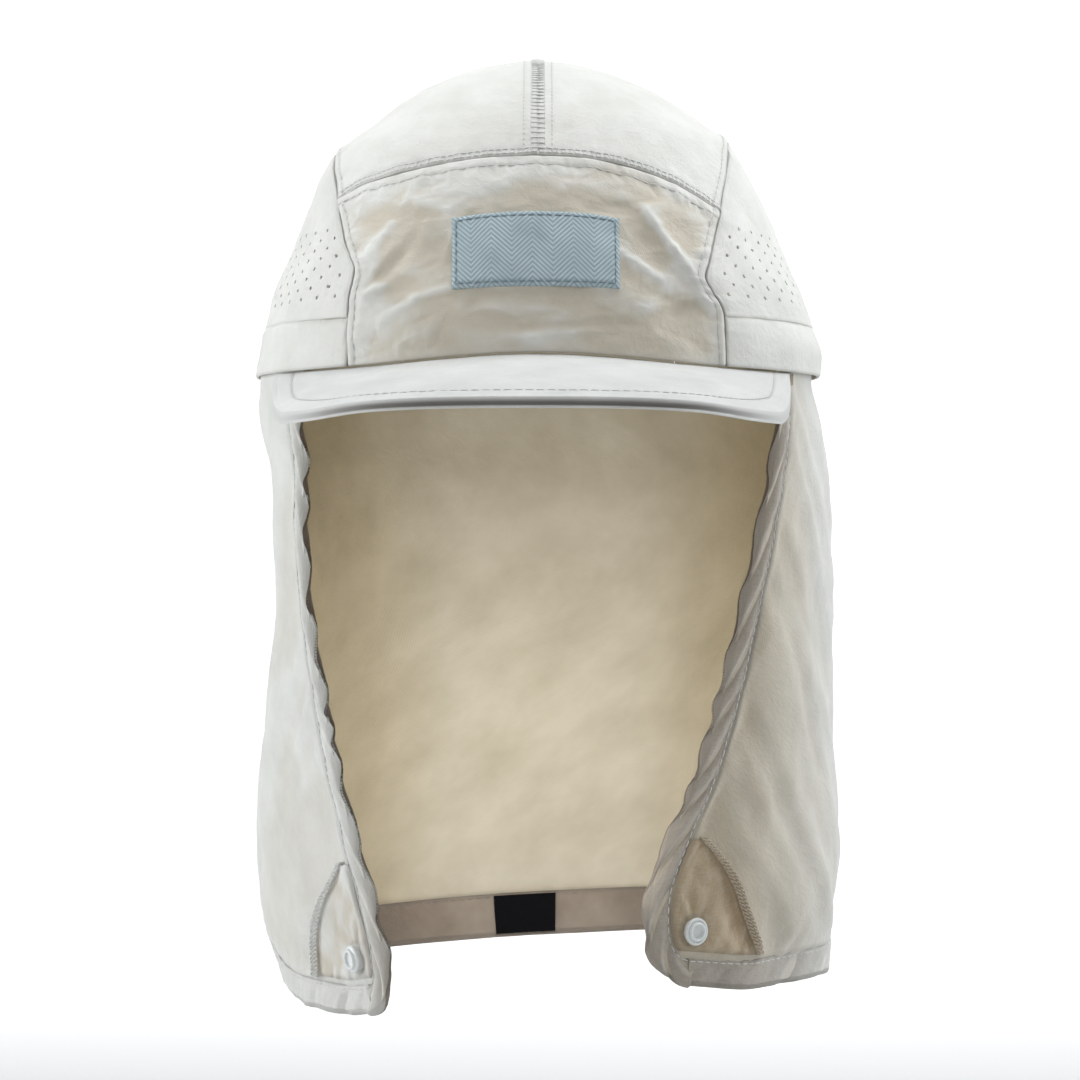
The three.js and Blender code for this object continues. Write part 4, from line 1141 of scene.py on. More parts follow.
def side_sheet(side):
    """The side panel, with a finer grid over its vents."""
    fine_u, fine_v = 0.42, 0.62
    u = np.concatenate([np.linspace(0, fine_u, 122), np.linspace(fine_u, 1, 56)[1:]])
    v = np.concatenate([np.linspace(0, fine_v, 84), np.linspace(fine_v, 1, 30)[1:]])
    u, v = np.meshgrid(u, v)
    foot = BAND_HEIGHT + SEAM_GAP / 2
    front, rear = seam_foot(side, foot, False)[0], seam_foot(side, foot, True)[0]
    corner = corner_over(side)
    points = coons(
        u,
        v,
        side_line(side, foot),
        seam_run(side, corner, BACK_CORNER_OVER),
        seam_run(side, front, corner),
        seam_run(side, rear, BACK_CORNER_OVER),
    )
    return Sheet(points)


def band_sheet(side):
    u, v = shares("side_band")
    top = BAND_HEIGHT + BAND_TUCK
    low, high = seam_foot(side, rim_height(HALF_FRONT), False), seam_foot(side, top, False)
    low_rear, high_rear = seam_foot(side, 0, True), seam_foot(side, top, True)

    def rim(t):
        turn = lerp(turn_of(low[1]), turn_of(low_rear[1]), t)
        x = HALF_WIDTH * np.sin(np.radians(turn))
        return crown_point(turn_and_height(turn, np.where(np.cos(np.radians(turn)) < 0, rim_height(x), 0)))

    points = coons(
        u, v, rim, side_line(side, top), seam_run(side, low[0], high[0]), seam_run(side, low_rear[0], high_rear[0])
    )
    return Sheet(points)


def vent_places(side):
    """The vents' middles: rows up the side panel, each half a pitch behind the one below."""
    places = []
    for row in range(VENT_ROWS):
        height = BAND_HEIGHT + VENT_FROM_BAND + row * VENT_RISE
        seam_turn = abs(turn_of(seam_foot(side, height, False)[1]))
        along = VENT_FROM_SEAM + (np.arange(VENT_COLUMNS) + (row % 2) / 2) * VENT_PITCH
        places.append(crown_point(turn_and_height(side * (seam_turn - np.degrees(along / HALF_LENGTH)), height)))
    return np.concatenate(places)


def pierce(sheet, places, radius):
    """Pulls the grid's nearest points on to each hole's rim and says which quads stay."""
    cell = 0.42
    open_points = np.zeros(sheet.points.shape[:2], bool)
    for place in places:
        away = sheet.base - place
        distance = np.linalg.norm(away, axis=-1)
        near = (distance > radius - 0.5 * cell) & (distance < radius + 0.55 * cell)
        pull = (radius / np.maximum(distance, 1e-6) - 1)[..., None] * away
        sheet.points[near] += pull[near]
        open_points |= distance <= radius - 0.5 * cell
        sheet.lift(-0.1 * bump(distance - radius, 0.35))
    corners = open_points[:-1, :-1] | open_points[:-1, 1:] | open_points[1:, 1:] | open_points[1:, :-1]
    return ~corners


class CAP_OT_crown(Operator):
    """Sew the crown: front panel, top panels, vented side panels and side bands"""

    bl_idname = "cap.crown"
    bl_label = "Crown"

    def execute(self, context):
        finish, sizes = finishes(), cap_sizes()
        outside, inside = finish("crown_cloth"), finish("crown_inside")
        thick, band = sizes["cloth_thickness"], sizes["seam_band"]
        stitch = dict(length=sizes["stitch_length"], radius=sizes["thread_radius"])
        threads = Threads()

        front = front_sheet()
        x, z = front.base[..., 0], front.base[..., 2]
        inner = smooth(np.minimum.reduce([front.start, front.end, front.top, front.bottom]) / 6)
        front.fold(1.25 * inner * line_folds(FRONT_CREASES, x, z))
        front.fold((0.35 + 0.65 * inner) * 1.55 * crumple(front.base, 3, (1, 1, 1.8)))
        # Bias of the warm painted shade in the folds' hollows: more over the middle of the front panel, less on the
        # other panels.
        front.tint = 0.3 * smooth(np.minimum(front.start, front.end) / 22) * smooth(front.top / 12)
        seam_edge(front, front.top, front.across, 11, band + 0.9, pucker=0.55, dark=0.45 + 0.5 * bump(x, 30))
        seam_edge(front, front.start, front.down, 12, band, pucker=0.45)
        seam_edge(front, front.end, front.down, 13, band, pucker=0.45)
        seam_edge(front, front.bottom, front.across, 14, 1.0, rise=0.0, pucker=0.1, roll=0.3, stitched=False)
        settle(shell_piece("front_panel_cloth", front, thick, outside, inside), "crown_cloth", "front_panel")
        threads.row(front.line("top", band + 0.6), **stitch)
        for edge in ("start", "end"):
            threads.row(front.line(edge, band - 0.3, (1.0, 3.0)), **stitch)

        for name, side in SIDES.items():
            top = top_sheet(side)
            top.fold(1.1 * crumple(top.base, 5 + side, (1.2, 0.8, 1)) * smooth(0.3 + top.bottom / 20))
            top.tint = -0.25
            seam_edge(top, top.bottom, top.across, 21 + side, band, rise=0.25, pucker=0.34, roll=0.35, dark=0.3)
            seam_edge(top, top.start, top.down, 24 + side, band, pucker=0.34, dark=0.45)
            seam_edge(top, top.end, top.down, 27 + side, 2.0, 0.1, 0.08, roll=0.1, stitched=False, dark=0.1)
            # Painted shade beside the centre seam and along the top seam's stitch rows.
            top.darken(0.05 * smooth((2.2 - top.end) / 0.5) + 0.05 * bump(top.end - 4.1, 0.6))
            top.darken(0.05 * smooth((band + 0.6 - top.bottom) / 0.8) + 0.1 * bump(top.bottom - band - 0.5, 0.7))
            node = f"top_panel_{name}"
            settle(shell_piece(f"{node}_cloth", top, thick, outside, inside), "crown_cloth", node)
            low, high = top.line("bottom", 0.8), top.line("bottom", band - 0.3)
            threads.row(low, pitch=2.1, **{**stitch, "length": 1.7})
            threads.row(high, pitch=2.1, **{**stitch, "length": 1.7})
            threads.rungs(low, high, pitch=1.3, radius=0.11, lift=0.05, lean=0.9)
            threads.row(top.line("start", band - 0.3, (3.0, 0.0)), **stitch)
            threads.row(top.line("end", 1.9, (1.0, 0.0)), pitch=2.3, **{**stitch, "length": 1.8})
            threads.row(top.line("end", 4.1, (1.0, 0.0)), pitch=2.1, **{**stitch, "length": 1.2})
            if side == LEFT:
                ladder = top.line("end", 1.9, (1.0, 0.0))
            else:
                threads.rungs(ladder, top.line("end", 1.9, (1.0, 0.0)), pitch=2.2, radius=0.26, lift=0.1)

            panel = side_sheet(side)
            panel.fold(1.3 * crumple(panel.base, 8 + side, (1, 0.7, 1)) * smooth(0.3 + panel.bottom / 12))
            panel.tint = -0.25
            seam_edge(panel, panel.start, panel.down, 31 + side, 1.5, rise=0.2, pucker=0.14, dark=0.55)
            seam_edge(panel, panel.top, panel.across, 34 + side, 1.5, rise=0.2, pucker=0.14, dark=0.5)
            seam_edge(panel, panel.end, panel.down, 37 + side, 1.5, rise=0.2, pucker=0.12, dark=0.5)
            seam_edge(panel, panel.bottom, panel.across, 40 + side, 1.0, 0.1, 0.1, roll=0.2, stitched=False, dark=0.12)
            keep = pierce(panel, vent_places(side), sizes["vent_diameter"] / 2)
            node = f"side_panel_{name}"
            settle(shell_piece(f"{node}_cloth", panel, thick, outside, inside, keep), "crown_cloth", node)

            strip = band_sheet(side)
            strip.fold(crumple(strip.base, 14 + side, (1, 0.7, 1.4)) * 0.8)
            strip.tint = -0.25
            strip.lift(-0.75 * bump(strip.top, 1.2))
            seam_edge(strip, strip.start, strip.down, 54 + side, 1.5, rise=0.2, pucker=0.14, dark=0.55)
            seam_edge(strip, strip.end, strip.down, 57 + side, 1.5, rise=0.2, pucker=0.12, dark=0.5)
            seam_edge(
                strip, strip.bottom, strip.across, 60 + side, 0.8, 0.25, 0.06, roll=0.4, stitched=False, dark=0.35
            )
            node = f"side_band_{name}"
            settle(shell_piece(f"{node}_cloth", strip, thick, outside, inside), "crown_cloth", node)
        threads.piece("crown_stitches", finish("thread"), "crown_cloth")
        return {"FINISHED"}


class CAP_OT_label(Operator):
    """Weave the label on the front panel and stitch it down"""

    bl_idname = "cap.label"
    bl_label = "Label"

    def execute(self, context):
        finish = finishes()
        u, v = shares("label", (-0.5, 0.5), (-0.5, 0.5))
        weave = finish("label_weave")
        across = (LABEL_OFFSET + u * LABEL_WIDTH) / HALF_WIDTH
        over = front_over(LABEL_CENTRE_HEIGHT) + np.degrees(v * LABEL_HEIGHT / HALF_LENGTH)
        label = Sheet(crown_point(across_and_over(across, over)))
        rim = np.minimum.reduce([label.start, label.end, label.top, label.bottom])
        label.lift(LABEL_LIFT - 0.5 * bump(rim, 0.55) + 0.12 * noise(label.base, 7, 3))
        label.lift(-0.26 * bump(rim - LABEL_STITCH_INSET, 0.45) + 0.16 * noise(label.base, 2.4, 4) * bump(rim, 2.4))
        # Painted shade along the label's stitch line and edge.
        label.darken(0.3 * bump(rim - LABEL_STITCH_INSET, 0.4) + 0.3 * bump(rim, 0.3))
        piece = shell_piece("front_label_weave", label, LABEL_THICKNESS, weave, weave)
        settle(piece, "label_weave", "front_label")
        threads = Threads()
        for edge in ("bottom", "top", "start", "end"):
            threads.row(label.line(edge, LABEL_STITCH_INSET, (1.2, 1.2)), pitch=2.5, length=1.9, radius=0.2, lift=0.08)
        threads.piece("label_stitches", finish("label_thread"), "label_weave")
        return {"FINISHED"}


# The peak
def peak_span(turn):
    """The peak's inner edge at the rim and its outer edge, for turns from -90 at the left tip to 90."""
    rim_turn = 180 - turn * PEAK_TIP_TURN / 90
    rim = crown_point(turn_and_height(rim_turn, 0.0 * turn))
    beside = crown_point(turn_and_height(rim_turn + 0.5, 0.0 * turn)) - rim
    out = unit(np.cross(beside, [0, 0, 1.0]))
    out *= np.sign((out * rim).sum(axis=-1))[..., None]
    inner = rim - out * FOLD_UNIT
    inner[..., 2] = rim_height(rim[..., 0]) - PEAK_CLEARANCE
    tip_y = crown_point(turn_and_height(np.array(180 - PEAK_TIP_TURN), 0.0))[..., 1]
    sine, cosine = np.sin(np.radians(turn)), np.cos(np.radians(turn))
    power = 2 / PEAK_SQUARENESS
    x = PEAK_OFFSET + np.sign(sine) * np.abs(sine) ** power * PEAK_WIDTH / 2
    y = tip_y - np.abs(cosine) ** power * (HALF_LENGTH + PEAK_REACH + tip_y)
    z = RIM_ARCH - PEAK_DROP * column(PEAK_EDGE, "drop", np.abs(turn))
    return inner, vectors(x, y, z)


def peak_slant(turn):
    """How squarely the peak's rows meet its outline: 1 at the front, less towards the tips."""
    inner, outer = peak_span(turn)
    tangent = unit(peak_span(turn + 0.2)[1] - peak_span(turn - 0.2)[1])
    return np.maximum(np.linalg.norm(np.cross(unit(outer - inner), tangent), axis=-1), 0.2)


def peak_point(turn, inset, from_rim, sunk):
    """A place on the peak by its distance in from its outer edge or, as a share, out from the rim."""
    inner, outer = peak_span(turn)
    span = outer - inner
    size = np.linalg.norm(span, axis=-1)
    share = from_rim if inset is None else np.clip(1 - inset / peak_slant(turn) / size, 0, 1)
    rise = PEAK_BULGE * np.sin(np.pi * share) * np.minimum(1, size / PEAK_REACH)
    point = inner + span * np.asarray(share)[..., None]
    point[..., 2] += rise - sunk
    return point


class CAP_OT_peak(Operator):
    """Shape the stiff peak with its stitched edge"""

    bl_idname = "cap.peak"
    bl_label = "Peak"

    def execute(self, context):
        finish, sizes = finishes(), cap_sizes()
        ease = np.linspace(-1, 1, PEAK_SAMPLES)
        turn = 90 * np.sign(ease) * np.abs(ease) ** 0.92
        inner, outer = peak_span(turn)
        out = unit(np.where([True, True, False], outer - inner, 0))
        slant = peak_slant(np.clip(turn, -89.7, 89.7))
        middle = 1 - smooth((np.abs(turn) - 25) / 45)
        top_shares = np.linspace(0, 1, 54) ** 0.85
        under_shares = np.linspace(1, 0, 22)
        rings, shade, place = [], [], []
        for share in top_shares:
            point = peak_point(turn, None, share + 0 * turn, 0)
            size = np.linalg.norm(outer - inner, axis=-1)
            inset, from_rim = (1 - share) * size * slant, share * size
            stitch_dent = -0.3 * bump(inset - PEAK_STITCH_INSET, 0.5) - 0.12 * bump(inset - 1.4, 0.5)
            ripple = 0.14 * noise(point, 15, 71) + 0.05 * noise(point, 5, 72)
            ripple += 0.16 * noise(point * [1, 0.25, 1], 3.4, 73) * bump(inset - PEAK_STITCH_INSET, 3.0)
            point[..., 2] += (stitch_dent + ripple) * smooth(inset / 0.8) * smooth(from_rim / 2)
            rings.append(point)
            # Painted shade along the stitch line and in the gap at the rim.
            shade.append(0.22 * bump(inset - PEAK_STITCH_INSET, 0.45) + 0.6 * bump(from_rim, 0.45))
            place.append(vectors(inner[..., 0] + (outer - inner)[..., 0] * share, from_rim, 0))
        for reach, depth in PEAK_EDGE_STATIONS:
            flat = 0.32 * math.sin(math.pi * depth / PEAK_THICKNESS)
            rings.append(peak_point(turn, None, 1 + 0 * turn, depth) + out * lerp(flat, reach, middle)[:, None])
            # Painted shade on the front edge's face, strongest in the middle.
            shade.append((0.08 + 0.8 * middle) * smooth((depth - 0.5) / 1.2) * smooth((2.75 - depth) / 0.35))
            place.append(vectors(outer[..., 0], 60 + depth, 0))
        for share in under_shares:
            rings.append(peak_point(turn, None, share + 0 * turn, PEAK_THICKNESS))
            shade.append(0 * turn)
            place.append(vectors(outer[..., 0], 64 + 50 * (1 - share), 0))
        rings, shade, place = (np.swapaxes(np.array(a), 0, 1) for a in (rings, shade, place))
        around = rings.shape[1]
        indices = np.where(np.arange(around) < len(top_shares) + len(PEAK_EDGE_STATIONS), 0, 1)
        # The underside takes the darker inside cloth, as painted shade under the peak.
        peak = ring_piece(
            "peak_cloth",
            rings,
            (finish("peak_cloth"), finish("cape_inside")),
            indices,
            place.reshape(-1, 3),
            shade.ravel(),
        )
        settle(peak, "peak_cloth", "peak")
        threads = Threads()
        fits = np.linalg.norm(outer - inner, axis=-1) * slant > PEAK_STITCH_INSET + 1
        line = peak_point(turn[fits], PEAK_STITCH_INSET, None, 0.12)
        threads.row((line, np.tile([0.0, 0.0, 1.0], (len(line), 1))), pitch=3.0, length=2.3, radius=0.17)
        threads.piece("peak_stitches", finish("thread"), "peak_cloth")
        return {"FINISHED"}


# The cape
def cape_base(turn, z):
    wall = crown_point(turn_and_height(turn, np.maximum(z, 0)))
    drop = -np.minimum(z, 0) / CAPE_DROP
    side = np.where(turn < 0, column(CAPE_LEVELS, "left", drop), column(CAPE_LEVELS, "right", drop))
    front = np.where(turn < 0, column(CAPE_LEVELS, "front_left", drop), column(CAPE_LEVELS, "front_right", drop))
    end = np.where(np.abs(turn) > 90, front, column(CAPE_LEVELS, "rear", drop))
    return vectors(wall[..., 0] * side, wall[..., 1] * end, z)


def edge_turn(side, z):
    return column(CAPE_LEVELS, "left_edge" if side < 0 else "right_edge", -z / CAPE_DROP)


def turn_per_mm(side, z):
    turn = edge_turn(side, z)
    return 1 / np.linalg.norm(cape_base(turn + 0.5, z) - cape_base(turn - 0.5, z), axis=-1)


def from_edge(side, turn, z):
    return side * (edge_turn(side, z) - turn) / turn_per_mm(side, z)


def cape_fold_depth(turn, drop):
    depth = 0.0 * turn
    for fold in CAPE_FOLDS:
        fade = smooth((drop - fold["start"]) / 0.2) * smooth((fold["end"] - drop) / 0.2)
        depth = depth + fold["depth"] * fade * bump(turn - fold["turn"] - fold["lean"] * drop, fold["width"])
    return depth * FOLD_UNIT


def cape_point(turn, z):
    """The middle of the cape's cloth."""
    turn, z = np.broadcast_arrays(np.asarray(turn, float), np.asarray(z, float))
    step = 0.5
    base = cape_base(turn, z)
    around = cape_base(turn + step, z) - cape_base(turn - step, z)
    down = cape_base(turn, z - step) - base
    flare = 0.0 * turn
    for side, name in ((LEFT, "left_flare"), (RIGHT, "right_flare")):
        near = from_edge(side, turn, z)
        share = column(CAPE_LEVELS, name, -z / CAPE_DROP)
        here = (np.sign(turn) == side) & (near < EDGE_FLARE_WIDTH)
        flare = flare + np.where(here, EDGE_FLARE * share * (1 - near / EDGE_FLARE_WIDTH) ** 2, 0)
    out = cape_fold_depth(turn, -z / CAPE_DROP) + flare - CAPE_INSET
    return base + unit(np.cross(around, down)) * out[..., None]


def on_cape(turn, z):
    """Points and outward normals of the middle of the cape's cloth."""
    turn, z = np.broadcast_arrays(np.asarray(turn, float), np.asarray(z, float))
    around = cape_point(turn + 1, z) - cape_point(turn - 1, z)
    down = cape_point(turn, z - 1) - cape_point(turn, z + 1)
    return cape_point(turn, z), unit(np.cross(around, down))


def hem_z(turn):
    return -CAPE_DROP * column(HEM_LINE, "drop", turn)


def hem_width(turn):
    return HEM_WIDTH * column(HEM_LINE, "width", turn)


def corner_lift(near):
    inside = CORNER_RADIUS - np.clip(near, 0, CORNER_RADIUS)
    return CORNER_RADIUS - np.sqrt(CORNER_RADIUS**2 - inside**2)


def corner_place(side, near, above):
    """The turn and height on the cape at a distance from a front edge and a height above the hem."""
    near, above = np.broadcast_arrays(np.asarray(near, float), np.asarray(above, float))
    turn = edge_turn(side, -CAPE_DROP) + 0.0 * near
    for _ in range(4):
        z = hem_z(turn) + above
        turn = edge_turn(side, z) - side * near * turn_per_mm(side, z)
    return turn, z


def on_corner(side, near, above):
    return on_cape(*corner_place(side, near, above))


def cape_grid():
    """Turns and heights over the whole cape, from its tucked top to the hem, and distances to its front edges."""
    share, t = shares("cape")
    z = lerp(CAPE_TUCK, -CAPE_DROP, t)
    for _ in range(6):
        turn = lerp(edge_turn(LEFT, z), edge_turn(RIGHT, z), share)
        side_near = np.where(turn < 0, from_edge(LEFT, turn, z), from_edge(RIGHT, turn, z))
        z = lerp(CAPE_TUCK, hem_z(turn) + corner_lift(side_near), t)
    return turn, z, np.maximum(side_near, 0)


def cape_wrinkles(turn, z):
    """Soft wrinkles that lean down and outwards over the flaps, and finer crumple."""
    drop = -z / CAPE_DROP
    slant = np.stack([np.abs(turn) * 1.55 - z * 0.6, z * 0.45 + np.abs(turn) * 0.3 + 300 * (turn > 0)], axis=-1)
    long_ripples = 1.15 * noise(slant * [1.0, 0.45], 19, 81) + 0.62 * noise(slant * [1.0, 0.5], 8, 82)
    front = smooth((np.abs(turn) - 55) / 45)
    right = smooth((turn - 60) / 40)
    calm = lerp(0.4, 0.9 + 0.5 * right, front) * smooth(drop / 0.05) * smooth(np.abs(turn) / 12)
    return calm * long_ripples + lerp(0.7, 1.1 + 0.6 * right, front) * crumple(cape_point(turn, z), 83, (1, 1, 0.6))


def cape_relief(turn, z):
    """How far wrinkles, and puckers beside the facings, lift the cape's cloth."""
    side = np.where(turn < 0, LEFT, RIGHT)
    near = np.where(turn < 0, from_edge(LEFT, turn, z), from_edge(RIGHT, turn, z))
    above = z - hem_z(turn)
    free = smooth((near - EDGE_WIDTH) / 5) * smooth((above - hem_width(turn) + 1.5) / 9)
    run = -1.05 * z + near * PUCKER_LEAN
    phase = run / PUCKER_PITCH + 0.5 * noise(np.stack([run / 30, side * 1.0], -1), 1.0, 131)
    puckers = 0.55 * np.abs(np.sin(math.pi * phase)) * bump(near - EDGE_WIDTH, 5)
    place = np.stack([turn * math.radians(HALF_WIDTH) / 4.2 + above / 9, above / 22], -1)
    gather = (0.5 * noise(place, 1.0, 132) + 0.3 * noise(2.3 * place, 1.0, 133)) * bump(above - hem_width(turn) - 2, 8)
    beside = smooth((near - EDGE_WIDTH + 1) / 2) * smooth((above - hem_width(turn) + 1) / 2.5)
    still = 1 - bump(np.hypot(near - STUD_FROM_EDGE, above - STUD_FROM_HEM), 7)
    return still * (free * cape_wrinkles(turn, z) + beside * (puckers + gather))


def facing_rings(place, width, profile, thickness, puff, scallop=0.0):
    """Rings of a folded facing around a cape edge. Place gives points and normals at distances in from the edge,
    the profile lists shares of the width with the height over the cloth's middle."""
    outer, inner = [], []
    for share, height in profile:
        inwards = share * width if share > 0 else share * FACING_REACH / 1.5
        inwards = inwards - scallop * smooth(1 - share)
        points, normals = place(inwards)
        lift, wave = puff(inwards, share)
        outer.append(points + normals * (wave + height * lift)[..., None])
        thin = np.sign(height) * max(abs(height) - thickness, 0.35)
        inner.append(points + normals * (wave + thin * lift)[..., None])
    return np.swapaxes(np.array(outer + inner[::-1]), 0, 1)


FACING_PROFILE = (
    *((share, 1.0 - 0.2 * share - 0.45 * float(bump(share - 1, 0.07))) for share in np.linspace(1.0, 0.12, 17)),
    (0.04, 1.0),
    (-0.5, 0.92),
    (-1.0, 0.7),
    (-1.35, 0.3),
    (-1.35, -0.3),
    (-1.0, -0.7),
    (-0.5, -0.92),
    (0.04, -1.0),
    *((share, -1.0 - 0.9 * float(smooth(1.6 * share))) for share in np.linspace(0.12, 1.0, 13)),
)


def settle_facing(node, rings, width, run, seam, faces):
    """Turns a facing's rings into its piece. Its fifth argument gives the strength and breadth of the painted shade
    along its stitched edge.
    """
    dark, breadth = seam
    across = np.array([share * width for share, height in FACING_PROFILE])
    across = np.concatenate([across, across[::-1]])
    shade = np.array([dark * bump(share - 1, breadth) for share, height in FACING_PROFILE])
    shade = np.broadcast_to(np.concatenate([shade, 0 * shade]), rings.shape[:2])
    marks = (np.arange(len(FACING_PROFILE)) >= FACING_OUTSIDE_ROWS).astype(int)
    marks = np.concatenate([marks, marks[::-1]])
    cloth = vectors(across[None, :], run[:, None], 0)
    piece = ring_piece(f"{node}_cloth", rings, faces, marks, cloth.reshape(-1, 3), shade.ravel())
    settle(piece, "cape_cloth", node)


def edge_run(side):
    """Places down a front edge and round its corner, as a function of the distance in from the edge."""
    turn = edge_turn(side, -CAPE_DROP)
    for _ in range(4):
        turn = edge_turn(side, hem_z(turn) + CORNER_RADIUS)
    bottom = hem_z(turn) + CORNER_RADIUS
    straight = np.linspace(FACING_TOP + 1.0, bottom, EDGE_SAMPLES)
    angles = np.radians(np.linspace(0, 90, CORNER_SAMPLES + 1)[1:])

    def place(inwards):
        inwards = np.broadcast_to(inwards, len(straight) + len(angles))
        near = inwards[: len(straight)]
        first = on_cape(edge_turn(side, straight) - side * near * turn_per_mm(side, straight), straight)
        reach = CORNER_RADIUS - inwards[len(straight) :]
        second = on_corner(side, CORNER_RADIUS - reach * np.cos(angles), CORNER_RADIUS - reach * np.sin(angles))
        return tuple(np.concatenate(pair) for pair in zip(first, second))

    return place


class CAP_OT_facings(Operator):
    """Fold and stitch the facings of the cape's front edges and hem"""

    bl_idname = "cap.facings"
    bl_label = "Facings"

    def execute(self, context):
        finish, sizes = finishes(), cap_sizes()
        faces = (finish("facing_cloth"), finish("hem_inside"))
        stitch = dict(length=sizes["stitch_length"], radius=sizes["thread_radius"])
        threads, hidden = Threads(), Threads()
        for name, side in SIDES.items():
            place = edge_run(side)
            run = run_along(place(0.0)[0], 0)

            def ridges(inwards, run=run, side=side):
                """Slanting puckers, spaced unevenly: 1 on their ridges, 0 in the creases between them."""
                uneven = 0.55 * noise(np.stack([run / 26, 0 * run], -1), 1.0, 90 + side)
                phase = (run + inwards * PUCKER_LEAN) / PUCKER_PITCH + uneven
                return 1 - (2 * np.abs(phase - np.floor(phase) - 0.5)) ** 1.6

            def puff(inwards, share, run=run, ridges=ridges):
                """How the puckers swell the strip."""
                ridge = ridges(inwards)
                free = smooth(1.15 - share)
                fine = noise(np.stack([(run + 2 * inwards) / 3.4, inwards / 4 + 0 * run], -1), 1.0, 95)
                return 0.7 + 0.6 * ridge * free, free * (1.9 * ridge - 1.1) + 0.18 * fine

            rings = facing_rings(place, EDGE_WIDTH, FACING_PROFILE, FACING_THICKNESS, puff, 1.3 * ridges(0.0) - 0.5)
            # Painted shade along the stitched edge: strong and narrow.
            settle_facing(f"cape_edge_{name}", rings, EDGE_WIDTH, run, (0.95, 0.1), faces)
            points, normals = place(EDGE_WIDTH - 0.9)
            lift, wave = puff(EDGE_WIDTH - 0.9, 1 - 0.9 / EDGE_WIDTH)
            line = points + normals * (wave + 0.8 * lift)[:, None]
            threads.row((line, normals), **stitch)

        share = np.linspace(0, 1, HEM_SAMPLES)
        z = -CAPE_DROP + 0 * share
        for _ in range(6):
            starts = [edge_turn(s, z) - s * (CORNER_RADIUS - 0.4) * turn_per_mm(s, z) for s in (LEFT, RIGHT)]
            turn = lerp(*starts, share)
            z = hem_z(turn)
        width = hem_width(turn)

        def place(inwards):
            return on_cape(turn, hem_z(turn) + inwards)

        run = run_along(place(0.0)[0], 0)

        def puff(inwards, share):
            lean = inwards * 0.9
            waves = noise(np.stack([(run + lean) / 5.5, 0 * run], -1), 1.0, 97)
            fine = noise(np.stack([(run + lean) / 2.4, inwards / 5 + 0 * run], -1), 1.0, 98)
            return 0.85 + 0.3 * waves + 0.2 * fine, 0.5 * smooth(1.2 - share) * waves + 0.1 * fine

        rings = facing_rings(place, width, FACING_PROFILE, FACING_THICKNESS, puff)
        # Painted shade along the hem's stitched edge.
        settle_facing("cape_hem", rings, HEM_WIDTH, run, (0.6, 0.05), faces)
        for face in (1, -1):
            points, normals = place(width - 1.1)
            lift, wave = puff(width - 1.1, 0.9)
            line = points + normals * (wave + (0.75 if face > 0 else -1.9) * lift)[:, None]
            (threads if face > 0 else hidden).row((line, face * normals), **stitch)
        threads.piece("cape_stitches", finish("thread"), "cape_cloth")
        hidden.piece("cape_inside_stitches", finish("inside_thread"), "cape_cloth")
        return {"FINISHED"}


# The cape's front corners
SLANT_TOP = np.array([PATCH_INSET + TAPE_WIDTH / 2, PATCH_HEIGHT])
SLANT_RUN = np.array([PATCH_WIDTH, PATCH_FOOT]) - SLANT_TOP
SLANT_OUT = unit(np.array([-SLANT_RUN[1], SLANT_RUN[0]]))


def slant_place(share, beside):
    """Distances from the edge and above the hem beside a patch's bowed slanting side."""
    bow = PATCH_BOW * np.sin(np.pi * share)
    near = SLANT_TOP[0] + SLANT_RUN[0] * share + SLANT_OUT[0] * bow + beside
    return near, SLANT_TOP[1] + SLANT_RUN[1] * share + SLANT_OUT[1] * bow


def patch_start(above):
    bend = CORNER_RADIUS - EDGE_WIDTH
    below = np.clip(CORNER_RADIUS - above, 0, bend)
    return PATCH_INSET + bend - np.sqrt(bend**2 - below**2)


def corner_sheet(side, near, above):
    """A sheet on the cape's wrinkled cloth, from distances to a front edge and heights above the hem."""
    turn, z = corner_place(side, near, above)
    points, normals = on_cape(turn, z)
    sheet = Sheet(points)
    sheet.normals = normals
    sheet.fold(cape_relief(turn, z))
    return sheet


